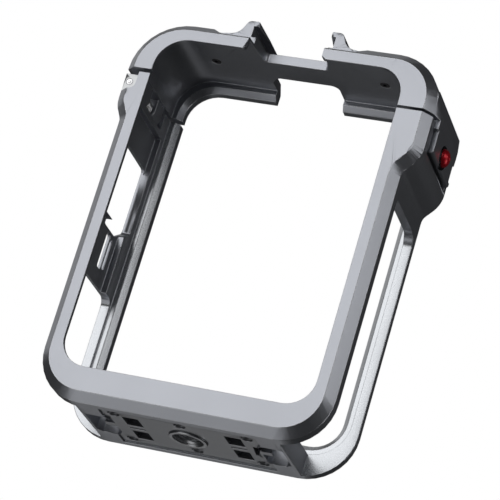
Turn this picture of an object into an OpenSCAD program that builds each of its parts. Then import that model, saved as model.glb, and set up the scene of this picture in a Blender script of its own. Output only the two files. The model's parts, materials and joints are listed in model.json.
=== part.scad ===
// Camera cage: a machined ring that clasps an upright pocket camera.
// The top bar is a hinged door with a cold shoe. A push latch on the right side holds it shut.
// The origin is on the axis of the tripod thread, in the plane of the foot.
// +X is to the right, +Y goes from the front to the rear and +Z is up.

/* [Camera bay] */
// Width of the bay between the side walls
bay_w = 61.4; // [56:0.1:76]
// Height of the bay from its floor to its ceiling
bay_h = 83.1; // [70:0.1:105]
// Depth of the bay between the front lip and the rear lip
bay_d = 23.1; // [20:0.1:30]
// Radius of the corners of the bay
bay_r = 8; // [6:0.1:9]
// How far the two lips reach over the edge of the camera
lip_cover = 2.35; // [1.5:0.05:3]
// Radius of three corners of the opening inside the lips
opening_r = 6.2; // [4:0.1:8]
// Radius of the fourth corner, above the hinge
opening_hinge_r = 7.1; // [4:0.1:8]

/* [Shell] */
// Thickness of the side walls
side_wall = 2.1; // [1.6:0.1:3]
// Thickness of the floor
floor_t = 5.1; // [4.8:0.1:8]
// Thickness of the top bar over the bay
ceiling_t = 2.2; // [1.8:0.1:4]
// Thickness of the front lip
front_lip_t = 1.15; // [0.8:0.05:2.5]
// Thickness of the rear lip
rear_lip_t = 3.15; // [2:0.05:4]
// Width of the bevel round the front and the rear face
bevel_w = 2; // [1:0.1:2.4]
// Depth of that bevel
bevel_d = 2.1; // [1:0.1:3]
// Size of the bevel on the inner edge of the rear lip
lip_bevel = 1.2; // [0.4:0.1:1.6]
// Radius of the bottom corners of the front face
bottom_r = 8.9; // [6:0.1:12]
// Radius of the top corner of the front face on the latch side
latch_corner_r = 9; // [6:0.1:12]
// Radius of the top corner of the front face on the hinge side
hinge_corner_r = 10.2; // [6:0.1:12]
// How much wider the ring is on the hinge side, above the shoulder
hinge_flare = 1.8; // [1.4:0.1:3]
// How much wider the ring is on the latch side, above the shoulder
latch_flare = 3.4; // [3:0.1:5]

/* [Door line] */
// Height of the top bar, from its lower edge to its top
bar_h = 12.8; // [11:0.1:18]
// Gap under the top bar on the hinge side
hinge_gap = 0.9; // [0.6:0.1:1.2]
// Gap under the top bar on the latch side
latch_gap = 0.6; // [0.4:0.1:1]

/* [Side openings] */
// Depth of the front rail that the side openings leave
front_rail = 4.7; // [3.5:0.1:6]
// Depth of the rear rail that the side openings leave
rear_rail = 4; // [3.2:0.1:6]
// Height of the top of the opening on the latch side
latch_side_top = 58; // [45:0.5:58]
// Half width of the flat foot between the two open corners
foot_half_w = 23.1; // [22.5:0.1:24]
// Height of the top of the lower window on the hinge side
low_window_top = 31.4; // [24:0.1:33]
// Height of the bottom of the upper window on the hinge side
high_window_bottom = 44.15; // [42:0.1:46]
// Height of the top of the upper window on the hinge side
high_window_top = 62.8; // [55:0.1:64]
// Depth of the relief on the inside of the hinge wall
wall_relief = 1.4; // [0.6:0.1:1.4]

/* [Hinge] */
// Distance from the pin up to the end face of the top bar
hinge_drop = 2.75; // [2.6:0.05:4]
// Radius of the hinge pin
pin_r = 0.8; // [0.6:0.05:0.9]
// Outer radius of the hinge bushes
bush_r = 1.25; // [1.1:0.05:1.4]
// Radius of the hinge barrels
barrel_r = 2.1; // [1.9:0.05:2.2]
// How far the flat that is milled round each end of the pin reaches from its axis
spot_r = 1.7; // [1.5:0.05:2]
// Where the barrels of the frame end along the pin
knuckle_half = 9.2; // [8.6:0.1:10]
// Half length of the gap in the frame that takes the barrels of the top bar
barrel_half = 6.8; // [6:0.1:7.4]
// Where the gap for the hinge spring starts along the pin
spring_gap_start = -2.4; // [-3:0.1:1]
// Length of the gap for the hinge spring along the pin
spring_gap = 4.4; // [4:0.1:4.6]

/* [Cold shoe] */
// Half width of the slot between the rails
shoe_half_w = 9.5; // [9.3:0.05:9.6]
// Height of the slot under the hooks
shoe_slot_h = 2.6; // [2.2:0.1:3]
// Distance from the middle to the lip of each hook
shoe_lip_x = 7.5; // [6.4:0.1:8]
// Height of the crest of each rail over the bar
shoe_h = 3.85; // [3.4:0.05:4.6]
// Half width of the foot of both rails together
shoe_foot_x = 16.4; // [15:0.1:18]
// Half width of the step in front of the rails
shoe_step_x = 15.4; // [12:0.1:17]
// Height of that step
shoe_step = 1.6; // [0.4:0.1:1.6]
// Front end of the rails
shoe_front_y = -10.4; // [-11:0.1:-9]
// Rear end of the rails
shoe_rear_y = 10; // [8:0.1:11]

/* [Latch] */
// Height of the lower edge of the ear under the end of the top bar
ear_drop = 7.3; // [7:0.1:9]
// How far the ear stands out from the side of the bar
ear_proud = 0.95; // [0.5:0.05:1.5]
// Gap between the ear and the ledge under it
ledge_gap = 0.8; // [0.6:0.1:1.2]
// Thickness of the outer skin of the ear
ear_skin = 1; // [0.8:0.05:1.2]
// Radius of the release button
button_r = 2.05; // [1.8:0.05:2.1]
// How far the dome of the button stands out
button_proud = 1.6; // [1.2:0.1:2]
// Travel of the button
button_travel = 0.8; // [0.6:0.05:0.8]
// Thickness of the latch plate
latch_plate_t = 0.6; // [0.5:0.05:0.6]

/* [Base] */
// Half width of the base plate
base_half_w = 17.7; // [17:0.1:18]
// Half depth of the base plate
base_half_d = 9.7; // [9:0.1:10]
// Thickness of the base plate
base_t = 2.2; // [1.6:0.1:2.6]
// How far the base plate sits above the plane of the foot
base_recess = 0.4; // [0.2:0.05:0.6]
// Radius of the tripod thread
tripod_r = 3.175; // [3.175]
// Outer radius of the tripod insert
insert_r = 4.3; // [4.1:0.05:4.6]

/* [Hidden] */

// Overlap that makes a cut run clean past a surface
past = 1;
// Clearance between a piece and the pocket that it lies in
seat = 0.05;
// Running clearance on a radius
run = 0.04;
// Gap between faces that swing past each other
swing = 0.2;
// Steps in each rounded corner of a milled outline
steps = 9;
// How far a wedge that cuts a bevel runs past both of its edges, as a share of the bevel
bevel_run = 0.2;
$fn = 48;

// The shell, from the inside out
floor_z = floor_t;
ceiling_z = floor_z + bay_h;
top_z = ceiling_z + ceiling_t;
wall_x = bay_w / 2;
side_x = wall_x + side_wall;
face_x = side_x - bevel_w;
total_d = front_lip_t + bay_d + rear_lip_t;
front_y = -total_d / 2;
rear_y = total_d / 2;
bay_front_y = front_y + front_lip_t;
bay_rear_y = rear_y - rear_lip_t;
rail_front_y = front_y + front_rail;
rail_rear_y = rear_y - rear_rail;
opening_x = wall_x - lip_cover;
opening_z0 = floor_z + lip_cover;
opening_z1 = ceiling_z - lip_cover;

// The door line, where the top bar meets the frame
bar_z = top_z - bar_h;
hinge_post_z = bar_z - hinge_gap;
latch_post_z = bar_z - latch_gap;
hinge_side_x = -side_x - hinge_flare;
latch_side_x = side_x + latch_flare;
pin_inset = 1.2;
pin_x = hinge_side_x + pin_inset;
pin_z = bar_z - hinge_drop;
spot_y = front_y + bevel_d;
pocket_r = barrel_r + 0.25;
spring_gap_end = spring_gap_start + spring_gap;

// The ear of the top bar and the ledge of the frame under it
ear_in_x = side_x + 0.3;
ear_out_x = latch_side_x + ear_proud;
ear_z = bar_z - ear_drop;
ledge_z = ear_z - ledge_gap;
ear_front_y = rail_front_y + swing;
ear_rear_y = rail_rear_y - swing;
button_z = ear_z + 2.7;
skin_x = ear_out_x - ear_skin;
flange_t = 0.5;
flange_half_w = button_r + 1;
flange_half_h = button_r - 0.25;
plate_x = skin_x - flange_t - latch_plate_t;
stem_r = 0.9;
cover_t = 0.4;
cover_x = ear_in_x + cover_t;
cover_lap = 0.35;
cover_lip = 0.15;
bezel_w = 0.6;
bezel_sunk = 0.4;
ear_wall = 0.9;
notch_front_y = ear_front_y + ear_wall;
notch_rear_y = ear_rear_y - ear_wall;
pocket_front_y = notch_front_y + ear_wall;
pocket_rear_y = notch_rear_y - ear_wall;
pocket_z0 = button_z - button_r - 0.15;
pocket_z1 = button_z + 2.7;
cover_z1 = pocket_z1 + 1.55;
plate_z0 = button_z - 1.3;
plate_z1 = button_z + 2.3;
nose_x = ear_in_x + 1.3;
nose_y = 4.5;
nose_half = 1;
nose_slot = nose_half + swing;
hook_z = ledge_z - 1.9;
latch_screw_z = pocket_z1 + 0.8;
keeper_t = 0.7;
keeper_x0 = side_x + 0.2;
keeper_x1 = latch_side_x - 0.4;
keeper_screw_x = ear_in_x + 1.3;
keeper_screw_y = 7.2;
keeper_screw_l = 2.5;
keeper_half = keeper_screw_y + 1.25;

// The base
base_z = base_recess + base_t;
floor_skin = 0.8;
base_screw_x = 15.05;
base_screw_y = 7.3;
base_screw_r = 0.78;
base_head_r = 1.2;
base_head_z = base_recess + 0.4;
base_head_h = 0.9;
insert_rim = 1;
insert_rim_h = 1.2;
claw_x = 11.55;
claw_y = 4;
claw_w = 3.7;
claw_d = 4.8;
end_window_x0 = 16.6;
end_window_x1 = foot_half_w - 0.8;
end_window_half = 5;

// Fasteners and pads
screw_r = 0.46;
screw_head_r = 0.9;
ceiling_screw_x = 19.9;
ceiling_screw_r = 0.56;
pad_t = 0.8;
pad_proud = 0.3;
pad_half_w = 1.6;

metal = "silver";
dark_steel = "dimgray";
rubber = [0.16, 0.16, 0.17];

// ---------- outlines ----------

function unit(v) = v / norm(v);
function turn(a, b) = a[0] * b[1] - a[1] * b[0];

// The points of one rounded corner at q, on the way from p to s, grown outwards by g
function corner(p, q, s, r, g) =
    let (a = unit(p - q),
         b = unit(s - q),
         half = acos(a * b) / 2,
         centre = q + unit(a + b) * r / sin(half),
         side = turn(q - p, s - q) > 0 ? 1 : -1,
         first = q + a * r / tan(half) - centre,
         start = atan2(first[1], first[0]),
         sweep = side * (180 - 2 * half))
    [for (i = [0 : steps]) centre + (r + side * g)
        * [cos(start + sweep * i / steps), sin(start + sweep * i / steps)]];

// A closed outline through corners [point, radius], grown outwards by g
function outline(c, g = 0) =
    let (n = len(c))
    [for (i = [0 : n - 1])
        each c[i][1] > 0
            ? corner(c[(i + n - 1) % n][0], c[i][0], c[(i + 1) % n][0], c[i][1], g)
            : [c[i][0]]];

// The corners of a rectangle, with the radii of its four corners from the lower left round
function box_corners(x0, x1, y0, y1, r) =
    [[[x0, y0], r[0]], [[x1, y0], r[1]], [[x1, y1], r[2]], [[x0, y1], r[3]]];

// The front face of the whole ring, seen from the front
function face_corners() =
    let (hinge_x = -face_x - hinge_flare,
         latch_x = face_x + latch_flare,
         hinge_shoulder = bar_z - 8.1,
         latch_shoulder = bar_z - 9.8)
    [[[-face_x, bevel_w], bottom_r],
     [[face_x, bevel_w], bottom_r],
     [[face_x, latch_shoulder - 4], 4.75],
     [[latch_x, latch_shoulder], 4.75],
     [[latch_x, top_z - bevel_w], latch_corner_r],
     [[hinge_x, top_z - bevel_w], hinge_corner_r],
     [[hinge_x, hinge_shoulder], 3.8],
     [[-face_x, hinge_shoulder - 3.5], 3.8]];

// ---------- helpers that stand an outline up ----------

// Extrudes an outline drawn in X and Z from y0 to y1
module along_y(y0, y1) {
    translate([0, y1, 0]) rotate([90, 0, 0]) linear_extrude(height = y1 - y0) children();
}

// Extrudes an outline drawn in Y and Z from x0 to x1
module along_x(x0, x1) {
    translate([x0, 0, 0]) rotate([90, 0, 90]) linear_extrude(height = x1 - x0) children();
}

// A box from its lowest corner a to its highest corner b
module span(a, b) {
    translate(a) cube(b - a);
}

// A round bar along Y
module bar_y(r, y0, y1) {
    translate([0, y0, 0]) rotate([-90, 0, 0]) cylinder(r = r, h = y1 - y0);
}

// A round bar along X
module bar_x(r, x0, x1) {
    translate([x0, 0, 0]) rotate([0, 90, 0]) cylinder(r = r, h = x1 - x0);
}

// A wire of radius wire_r wound along Z from 0 to height, with its middle at mean_r
module coil(mean_r, wire_r, height, turns) {
    around = 6;
    per_turn = 16;
    rings = ceil(turns * per_turn);
    climb = height - 2 * wire_r;
    points = [for (k = [0 : rings], j = [0 : around - 1])
        let (a = 360 * turns * k / rings,
             b = 360 * j / around,
             r = mean_r + wire_r * cos(b))
        [r * cos(a), r * sin(a), wire_r + climb * k / rings + wire_r * sin(b)]];
    sides = [for (k = [0 : rings - 1], j = [0 : around - 1])
        let (a = k * around, b = a + around, n = (j + 1) % around)
        [a + j, b + j, b + n, a + n]];
    first = [for (j = [0 : around - 1]) j];
    last = [for (j = [around - 1 : -1 : 0]) rings * around + j];
    polyhedron(points, concat([first], sides, [last]), convexity = 10);
}

// ---------- the ring that the frame and the top bar are cut from ----------

// A wedge that runs round an outline. Its section has three corners: each is the outline,
// grown by one of the values in grow, at the depth in y with the same number.
module loop_wedge(corners, grow, y) {
    n = len(outline(corners));
    points = [for (k = [0 : 2]) for (p = outline(corners, grow[k])) [p[0], y[k], p[1]]];
    faces = [for (k = [0 : 2], i = [0 : n - 1])
        let (a = k * n, b = (k + 1) % 3 * n, j = (i + 1) % n)
        [b + i, b + j, a + j, a + i]];
    polyhedron(points, faces, convexity = 10);
}

// The wedge that cuts the bevel round the front face
module face_wedge() {
    w = bevel_w * bevel_run;
    d = bevel_d * bevel_run;
    loop_wedge(face_corners(),
               [-w, bevel_w + w, bevel_w + w],
               [front_y - d, front_y + bevel_d + d, front_y - d]);
}

// The whole ring, bevelled round the front and the rear face
module ring_blank() difference() {
    along_y(front_y, rear_y) polygon(outline(face_corners(), bevel_w));
    face_wedge();
    mirror([0, 1, 0]) face_wedge();
}

// The corners of the opening inside the lips
function opening_corners() =
    box_corners(-opening_x, opening_x, opening_z0, opening_z1,
                [opening_r, opening_r, opening_r, opening_hinge_r]);

// The space for the camera, with the openings through both lips and the bevel on the rear one
module bay_cut() {
    w = lip_bevel * bevel_run;
    along_y(bay_front_y, bay_rear_y)
        polygon(outline(box_corners(-wall_x, wall_x, floor_z, ceiling_z,
                                    [bay_r, bay_r, bay_r, bay_r])));
    along_y(front_y - past, rear_y + past) polygon(outline(opening_corners()));
    loop_wedge(opening_corners(),
               [-w, -w, lip_bevel + w],
               [bay_rear_y - w, bay_rear_y + lip_bevel + w, bay_rear_y - w]);
}

// ---------- frame ----------

// The opening in the latch side, down through the bottom corner
module latch_side_cut() {
    along_x(foot_half_w, side_x + 2 * past)
        polygon(outline(box_corners(rail_front_y, rail_rear_y, -past, latch_side_top,
                                    [0, 0, 3.2, 1.2])));
}

// The lower window in the hinge side, down through the bottom corner
module low_window_cut() {
    along_x(-side_x - 2 * past, -foot_half_w)
        polygon(outline(box_corners(rail_front_y, rail_rear_y, -past, low_window_top,
                                    [0, 0, 2, 0.6])));
}

// The upper window in the hinge side, with its stepped lower edge
module high_window_cut() {
    step_y = rail_front_y + 5.7;
    rear = rail_rear_y - 1.35;
    along_x(hinge_side_x - past, -wall_x + past)
        polygon(outline([[[rail_front_y, high_window_bottom + 1.15], 1.6],
                         [[step_y, high_window_bottom + 1.15], 0],
                         [[step_y, high_window_bottom], 0],
                         [[rear - 4.5, high_window_bottom], 0.8],
                         [[rear, high_window_bottom + 2.75], 0.8],
                         [[rear, high_window_top], 0.6],
                         [[rail_front_y, high_window_top], 0.6]]));
}

// The slim slot in the bridge between the two windows, with a thin post left in it
module bridge_slot_cut() {
    slot_y = rail_front_y + 8.6;
    slot_h = high_window_bottom - low_window_top;
    z0 = low_window_top + 0.29 * slot_h;
    z1 = high_window_bottom - 0.85;
    post_y0 = slot_y + 2.1;
    post_y1 = slot_y + 2.8;
    round = [0.3, 0.3, 0.3, 0.3];
    along_x(-side_x - past, -wall_x + past) {
        polygon(outline(box_corners(slot_y, post_y0, z0, z1, round)));
        polygon(outline(box_corners(post_y1, slot_y + 4, z0 + 0.6, z1 - 0.4, round)));
    }
}

// The shallow reliefs on the inside of the hinge wall
module wall_relief_cut() {
    x0 = -wall_x - wall_relief;
    x1 = -wall_x + past;
    bridge_rear_y = rail_front_y + 14.8;
    post_rear_y = rail_rear_y - 1.05;
    span([x0, rail_front_y, low_window_top - past], [x1, bridge_rear_y, high_window_bottom + past]);
    span([x0, rail_front_y, high_window_top - past], [x1, post_rear_y, pin_z - pocket_r - 1.4]);
}

// The gap in the hinge post that the barrels of the top bar turn in
module barrel_cut() {
    translate([pin_x, 0, pin_z]) bar_y(pocket_r, -barrel_half, barrel_half);
    span([hinge_side_x - barrel_r, -barrel_half, pin_z - barrel_r + 0.65],
         [pin_x, barrel_half, bar_z + past]);
    span([pin_x, -barrel_half, pin_z - pocket_r], [-wall_x + past, barrel_half, bar_z + past]);
}

// The flats that are milled round both ends of the hinge pin, open to the top and to the side
module spot_cut() {
    outer = spot_r + past;
    flat = outline([[[-outer, -spot_r], 0],
                    [[spot_r, -spot_r], spot_r - 0.2],
                    [[spot_r, outer], 0],
                    [[-outer, outer], 0]]);
    for (side = [0, 1]) mirror([0, side, 0])
        translate([pin_x, 0, pin_z]) along_y(front_y - past, spot_y) polygon(flat);
}

// The two barrels of the frame round the pin
module frame_barrels() {
    for (side = [0, 1]) mirror([0, side, 0])
        translate([pin_x, 0, pin_z]) bar_y(barrel_r, barrel_half, knuckle_half);
}

// The bores for the pin and for its two bushes
module pin_bores() {
    translate([pin_x, 0, pin_z]) {
        bar_y(pin_r, front_y, rear_y);
        bar_y(bush_r, -knuckle_half, knuckle_half);
    }
}

// The step in the latch post that the ear hangs in, with the seat of the keeper plate, its two
// screw holes and the pocket for the noses of the latch plate
module ear_cut() {
    pocket_half = nose_y + nose_half + 0.4;
    span([side_x, rail_front_y, ledge_z], [ear_out_x + past, rail_rear_y, bar_z + past]);
    span([keeper_x0 - seat, -keeper_half - seat, ledge_z - keeper_t],
         [keeper_x1 + seat, keeper_half + seat, ledge_z + past]);
    span([ear_in_x, -pocket_half, hook_z - 0.5], [keeper_x1 - 0.25, pocket_half, ledge_z]);
    for (y = [-keeper_screw_y, keeper_screw_y])
        translate([keeper_screw_x, y, ledge_z - keeper_t - keeper_screw_l])
            cylinder(r = screw_r + run, h = keeper_screw_l);
}

// Everything that is milled and drilled into the floor
module floor_cut() {
    translate([0, 0, -past]) linear_extrude(height = base_z + past) base_outline(seat);
    translate([0, 0, -past]) cylinder(r = insert_r, h = floor_t + 2 * past);
    translate([0, 0, floor_z - insert_rim_h])
        cylinder(r = insert_r + insert_rim + 2 * seat, h = past + insert_rim_h);
    at_base_screws() cylinder(r = base_screw_r + 0.02, h = floor_z - floor_skin);
    claw_cut(floor_z - floor_skin);
    for (side = [0, 1]) mirror([side, 0, 0])
        translate([0, 0, -past]) linear_extrude(height = floor_z + 2 * past) end_window_outline();
    floor_pad_shape(seat, floor_z - pad_t + pad_proud);
}

// Repeats what it is given at the six screws of the base plate
module at_base_screws() {
    for (x = [-base_screw_x, 0, base_screw_x], y = [-base_screw_y, base_screw_y])
        translate([x, y, 0]) children();
}

// The four sockets for a quick-release claw, and the grooves between them
module claw_cut(top) {
    groove_half = 0.35;
    groove_d = 0.8;
    for (x = [-claw_x, claw_x], y = [-claw_y, claw_y])
        span([x - claw_w / 2, y - claw_d / 2, -past], [x + claw_w / 2, y + claw_d / 2, top]);
    for (x = [-claw_x, claw_x])
        span([x - claw_w / 2, -groove_half, -past],
             [x + claw_w / 2, groove_half, base_recess + groove_d]);
}

// The window beside each end of the base plate
module end_window_outline() {
    polygon(outline([[[end_window_x0, -end_window_half + 0.9], 0.4],
                     [[end_window_x0 + 1, -end_window_half], 0.4],
                     [[end_window_x1, -end_window_half], 0.8],
                     [[end_window_x1, end_window_half - 1], 0.6],
                     [[end_window_x1 - 1.2, end_window_half], 0.6],
                     [[end_window_x0 + 1, end_window_half], 0.4],
                     [[end_window_x0, end_window_half - 0.9], 0.4]]));
}

module cage_frame() color(metal) difference() {
    union() {
        difference() {
            ring_blank();
            bay_cut();
            span([-2 * side_x, front_y - past, hinge_post_z], [0, rear_y + past, top_z + past]);
            span([-past, front_y - past, latch_post_z], [2 * side_x, rear_y + past, top_z + past]);
        }
        frame_barrels();
    }
    spot_cut();
    barrel_cut();
    pin_bores();
    latch_side_cut();
    low_window_cut();
    high_window_cut();
    bridge_slot_cut();
    wall_relief_cut();
    ear_cut();
    floor_cut();
    side_pad_shape(seat, wall_x + pad_t - pad_proud);
}

// ---------- top bar ----------

// The notches in front of and behind the bridge that carries the cold shoe
module shoe_notch_cut() {
    bridge_y0 = -3.3;
    bridge_y1 = 4.2;
    translate([0, 0, opening_z1 - past]) linear_extrude(height = top_z - opening_z1 + 2 * past) {
        polygon(outline([[[-8.7, front_y - past], 0],
                         [[9, front_y - past], 0],
                         [[7.5, bridge_y0], 1],
                         [[-7.5, bridge_y0], 1]]));
        polygon(outline([[[-6.3, bridge_y1], 1],
                         [[8, bridge_y1], 1.9],
                         [[8, rear_y + past], 0],
                         [[-8, rear_y + past], 0],
                         [[-8, bridge_y1 + 2.3], 1]]));
    }
}

// The round under each end of the front lip, beside the front notch
module notch_round_cut() {
    r = 0.9;
    for (side = [0, 1]) mirror([side, 0, 0])
        translate([8.85 - 0.3 * side, 0, opening_z1])
            along_y(front_y - past, bay_front_y) difference() {
                translate([-past, -past]) square(r + past);
                translate([r, r]) circle(r);
            }
}

// The step in front of the rails, with a ramp up at each end
module shoe_step_cut() {
    ramp_x = shoe_step_x + 2.4;
    along_y(front_y - past, shoe_front_y)
        polygon([[-ramp_x, top_z], [-shoe_step_x, top_z - shoe_step],
                 [shoe_step_x, top_z - shoe_step], [ramp_x, top_z],
                 [ramp_x, top_z + past], [-ramp_x, top_z + past]]);
}

// One rail of the cold shoe: an outline in X and Z, run along Y
module shoe_rail() {
    hook_z0 = top_z + shoe_slot_h;
    crest_z = top_z + shoe_h;
    root_z = top_z - 0.6;
    along_y(shoe_front_y, shoe_rear_y)
        polygon(outline([[[shoe_half_w, root_z], 0],
                         [[shoe_half_w, hook_z0], 0],
                         [[shoe_lip_x, hook_z0], 0],
                         [[shoe_lip_x, hook_z0 + 0.3], 0],
                         [[shoe_lip_x + 1.1, crest_z], 0.8],
                         [[shoe_half_w + 1.5, crest_z], 1.2],
                         [[shoe_half_w + 3.1, top_z + 0.5], 3],
                         [[shoe_foot_x, top_z], 0],
                         [[shoe_foot_x, root_z], 0]]));
}

// The lead-in that opens the lips of the shoe towards the front
module shoe_lead_cut() {
    lead_l = 7;
    for (side = [0, 1]) mirror([side, 0, 0])
        translate([0, 0, top_z + 0.1]) linear_extrude(height = shoe_h + past)
            polygon([[shoe_lip_x - past, shoe_front_y - past],
                     [shoe_lip_x + 1.2, shoe_front_y - past],
                     [shoe_lip_x + 0.9, shoe_front_y + 0.6],
                     [shoe_lip_x, shoe_front_y + lead_l],
                     [shoe_lip_x - past, shoe_front_y + lead_l]]);
}

// The ear that hangs down outside the latch post, and the swell of the bar that it grows from
module ear_blank() {
    root_x = wall_x + 0.5;
    swell_z = bar_z + 1.6;
    blend_z = bar_z + 5.4;
    along_y(ear_front_y, ear_rear_y)
        polygon(outline([[[ear_in_x, ear_z], 0],
                         [[ear_out_x, ear_z], 0.7],
                         [[ear_out_x, swell_z], 0],
                         [[ear_in_x, swell_z], 0]]));
    intersection() {
        along_y(front_y + bevel_d, rear_y - bevel_d)
            polygon(outline([[[root_x, bar_z], 0],
                             [[ear_out_x, bar_z], 0],
                             [[ear_out_x, swell_z], 2],
                             [[latch_side_x, blend_z], 0],
                             [[root_x, blend_z], 0]]));
        translate([0, 0, bar_z - past]) linear_extrude(height = bar_h + past)
            polygon([[root_x, front_y + bevel_d], [latch_side_x, front_y + bevel_d],
                     [ear_out_x, ear_front_y], [ear_out_x, ear_rear_y],
                     [latch_side_x, rear_y - bevel_d], [root_x, rear_y - bevel_d]]);
    }
}

// The pocket for the latch inside the ear, with the recess for its cover
module ear_pocket_cut() {
    x0 = ear_in_x - past;
    span([x0, pocket_front_y, pocket_z0], [skin_x, pocket_rear_y, pocket_z1]);
    span([x0, pocket_front_y - cover_lap - seat, pocket_z0 - cover_lip - seat],
         [cover_x, pocket_rear_y + cover_lap + seat, cover_z1 + seat]);
    for (y = [-nose_y, nose_y]) {
        span([x0, y - nose_slot, ear_z - past],
             [nose_x + latch_plate_t + 0.6, y + nose_slot, pocket_z0 + 0.01]);
        translate([0, y, latch_screw_z]) bar_x(screw_r + run, cover_x - past, skin_x - 0.6);
    }
    translate([0, 0, button_z]) {
        bar_x(button_r + run, skin_x - past, ear_out_x + past);
        bar_x(button_r + bezel_w, ear_out_x - bezel_sunk, ear_out_x + past);
    }
}

// The notches in the front and the rear edge of the ear that show the ends of the latch plate
module ear_notch_cut() {
    x0 = ear_in_x - past;
    x1 = ear_out_x + past;
    shelf_z = plate_z1 + 0.3;
    plate_gap = 0.1;
    span([x0, ear_front_y - past, ear_z - past], [x1, notch_front_y, shelf_z]);
    span([x0, notch_rear_y, plate_z0 - swing], [x1, ear_rear_y + past, shelf_z]);
    for (y = [notch_front_y, notch_rear_y - ear_wall])
        span([plate_x - button_travel - swing, y - plate_gap, plate_z0 - swing],
             [plate_x + latch_plate_t + plate_gap, y + ear_wall + plate_gap, plate_z1 + swing]);
}

// The barrels of the top bar, and the webs that hold them
module bar_barrels() {
    for (y = [[-barrel_half + swing, spring_gap_start], [spring_gap_end, barrel_half - swing]]) {
        translate([pin_x, 0, pin_z]) bar_y(barrel_r, y[0], y[1]);
        span([hinge_side_x, y[0], pin_z], [pin_x + barrel_r, y[1], bar_z + past / 2]);
    }
}

module top_bar() color(metal) difference() {
    union() {
        difference() {
            ring_blank();
            bay_cut();
            span([-2 * side_x, front_y - past, -past], [2 * side_x, rear_y + past, bar_z]);
        }
        bar_barrels();
        ear_blank();
        shoe_rail();
        mirror([1, 0, 0]) shoe_rail();
    }
    translate([pin_x, 0, pin_z]) bar_y(pin_r + run, -barrel_half, barrel_half);
    shoe_notch_cut();
    notch_round_cut();
    shoe_step_cut();
    shoe_lead_cut();
    ear_pocket_cut();
    ear_notch_cut();
    for (x = [-ceiling_screw_x, ceiling_screw_x])
        translate([x, 0, ceiling_z]) {
            translate([0, 0, -past]) cylinder(r = ceiling_screw_r + run, h = 1.7 + past);
            translate([0, 0, -0.01]) cylinder(r1 = 1.2, r2 = ceiling_screw_r + run, h = 0.6);
        }
    ceiling_pad_shapes(seat, ceiling_z + pad_t - pad_proud);
}

// ---------- hinge ----------

module hinge_pin() color("white") translate([pin_x, 0, pin_z]) bar_y(pin_r, spot_y, -spot_y);

module hinge_bushes() color(dark_steel) translate([pin_x, 0, pin_z])
    for (side = [0, 1]) mirror([0, side, 0]) difference() {
        bar_y(bush_r, barrel_half, knuckle_half);
        bar_y(pin_r, barrel_half - past, knuckle_half + past);
    }

module hinge_spring() color(metal) {
    end_gap = 0.15;
    wire_r = 0.3;
    translate([pin_x, spring_gap_start + end_gap, pin_z])
        rotate([-90, 0, 0]) coil(pin_r + 2 * wire_r, wire_r, spring_gap - 2 * end_gap, 5.5);
}

// ---------- latch ----------

// A domed button on a thin stem, with a flat flange that stops it from turning and from falling out
module release_button() color([0.78, 0.08, 0.12]) translate([0, 0, button_z]) {
    dome_x = ear_out_x + 0.2;
    stem_x = ear_in_x + 0.65;
    flange_x = skin_x - flange_t;
    dome_steps = 8;
    rotate([0, 90, 0]) rotate_extrude()
        polygon(concat([[0, stem_x], [stem_r, stem_x], [stem_r, flange_x], [button_r, flange_x],
                        [button_r, dome_x]],
                       [for (i = [1 : dome_steps - 1])
                           let (a = 90 * i / dome_steps)
                           [button_r * cos(a), dome_x + (button_proud - 0.2) * sin(a)]],
                       [[0, ear_out_x + button_proud]]));
    span([flange_x, -flange_half_w, -flange_half_h], [skin_x, flange_half_w, flange_half_h]);
}

module button_bezel() color(dark_steel) translate([0, 0, button_z]) difference() {
    bar_x(button_r + bezel_w, ear_out_x - bezel_sunk, ear_out_x + 0.2);
    bar_x(button_r + run, ear_out_x - past, ear_out_x + past);
}

module button_spring() color(metal) translate([cover_x, 0, button_z])
    rotate([0, 90, 0]) coil(stem_r + 0.45, 0.12, plate_x - cover_x, 3);

// The outline of one nose of the latch plate, in X and Z: it bends in under the ear and ends in a hook
module nose_outline() {
    outer_x = nose_x + latch_plate_t;
    bend_z = plate_z0 - 0.05;
    polygon([[plate_x, plate_z0 + 0.4],
             [plate_x, bend_z],
             [nose_x, bend_z - 0.2],
             [nose_x, hook_z],
             [outer_x + 0.1, hook_z],
             [outer_x + 0.3, hook_z + 0.4],
             [outer_x + 0.3, hook_z + 0.8],
             [outer_x, hook_z + 0.8],
             [outer_x, bend_z - 0.8],
             [plate_x + latch_plate_t, bend_z - 0.6],
             [plate_x + latch_plate_t, plate_z0 + 0.4]]);
}

// A flat plate on the stem of the button, with two noses that reach down into the keeper
module latch_plate() color(metal) difference() {
    union() {
        span([plate_x, ear_front_y + swing, plate_z0],
             [plate_x + latch_plate_t, ear_rear_y - swing, plate_z1]);
        for (y = [-nose_y, nose_y]) along_y(y - nose_half, y + nose_half) nose_outline();
    }
    translate([0, 0, button_z]) bar_x(stem_r + run, plate_x - past, plate_x + latch_plate_t + past);
}

module latch_cover() color(dark_steel) difference() {
    span([ear_in_x, pocket_front_y - cover_lap, pocket_z0 - cover_lip],
         [cover_x, pocket_rear_y + cover_lap, cover_z1]);
    translate([0, 0, button_z]) bar_x(stem_r + 0.15, ear_in_x - past, cover_x + past);
    for (y = [-nose_y, nose_y])
        translate([ear_in_x - 0.01, y, latch_screw_z]) rotate([0, 90, 0])
            cylinder(r1 = screw_head_r + run, r2 = screw_r + run, h = cover_t + 0.02);
}

module latch_cover_screws() color(dark_steel)
    for (y = [-nose_y, nose_y])
        translate([ear_in_x, y, latch_screw_z]) rotate([0, 90, 0]) {
            cylinder(r1 = screw_head_r, r2 = screw_r, h = cover_t);
            cylinder(r = screw_r, h = 2);
        }

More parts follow.
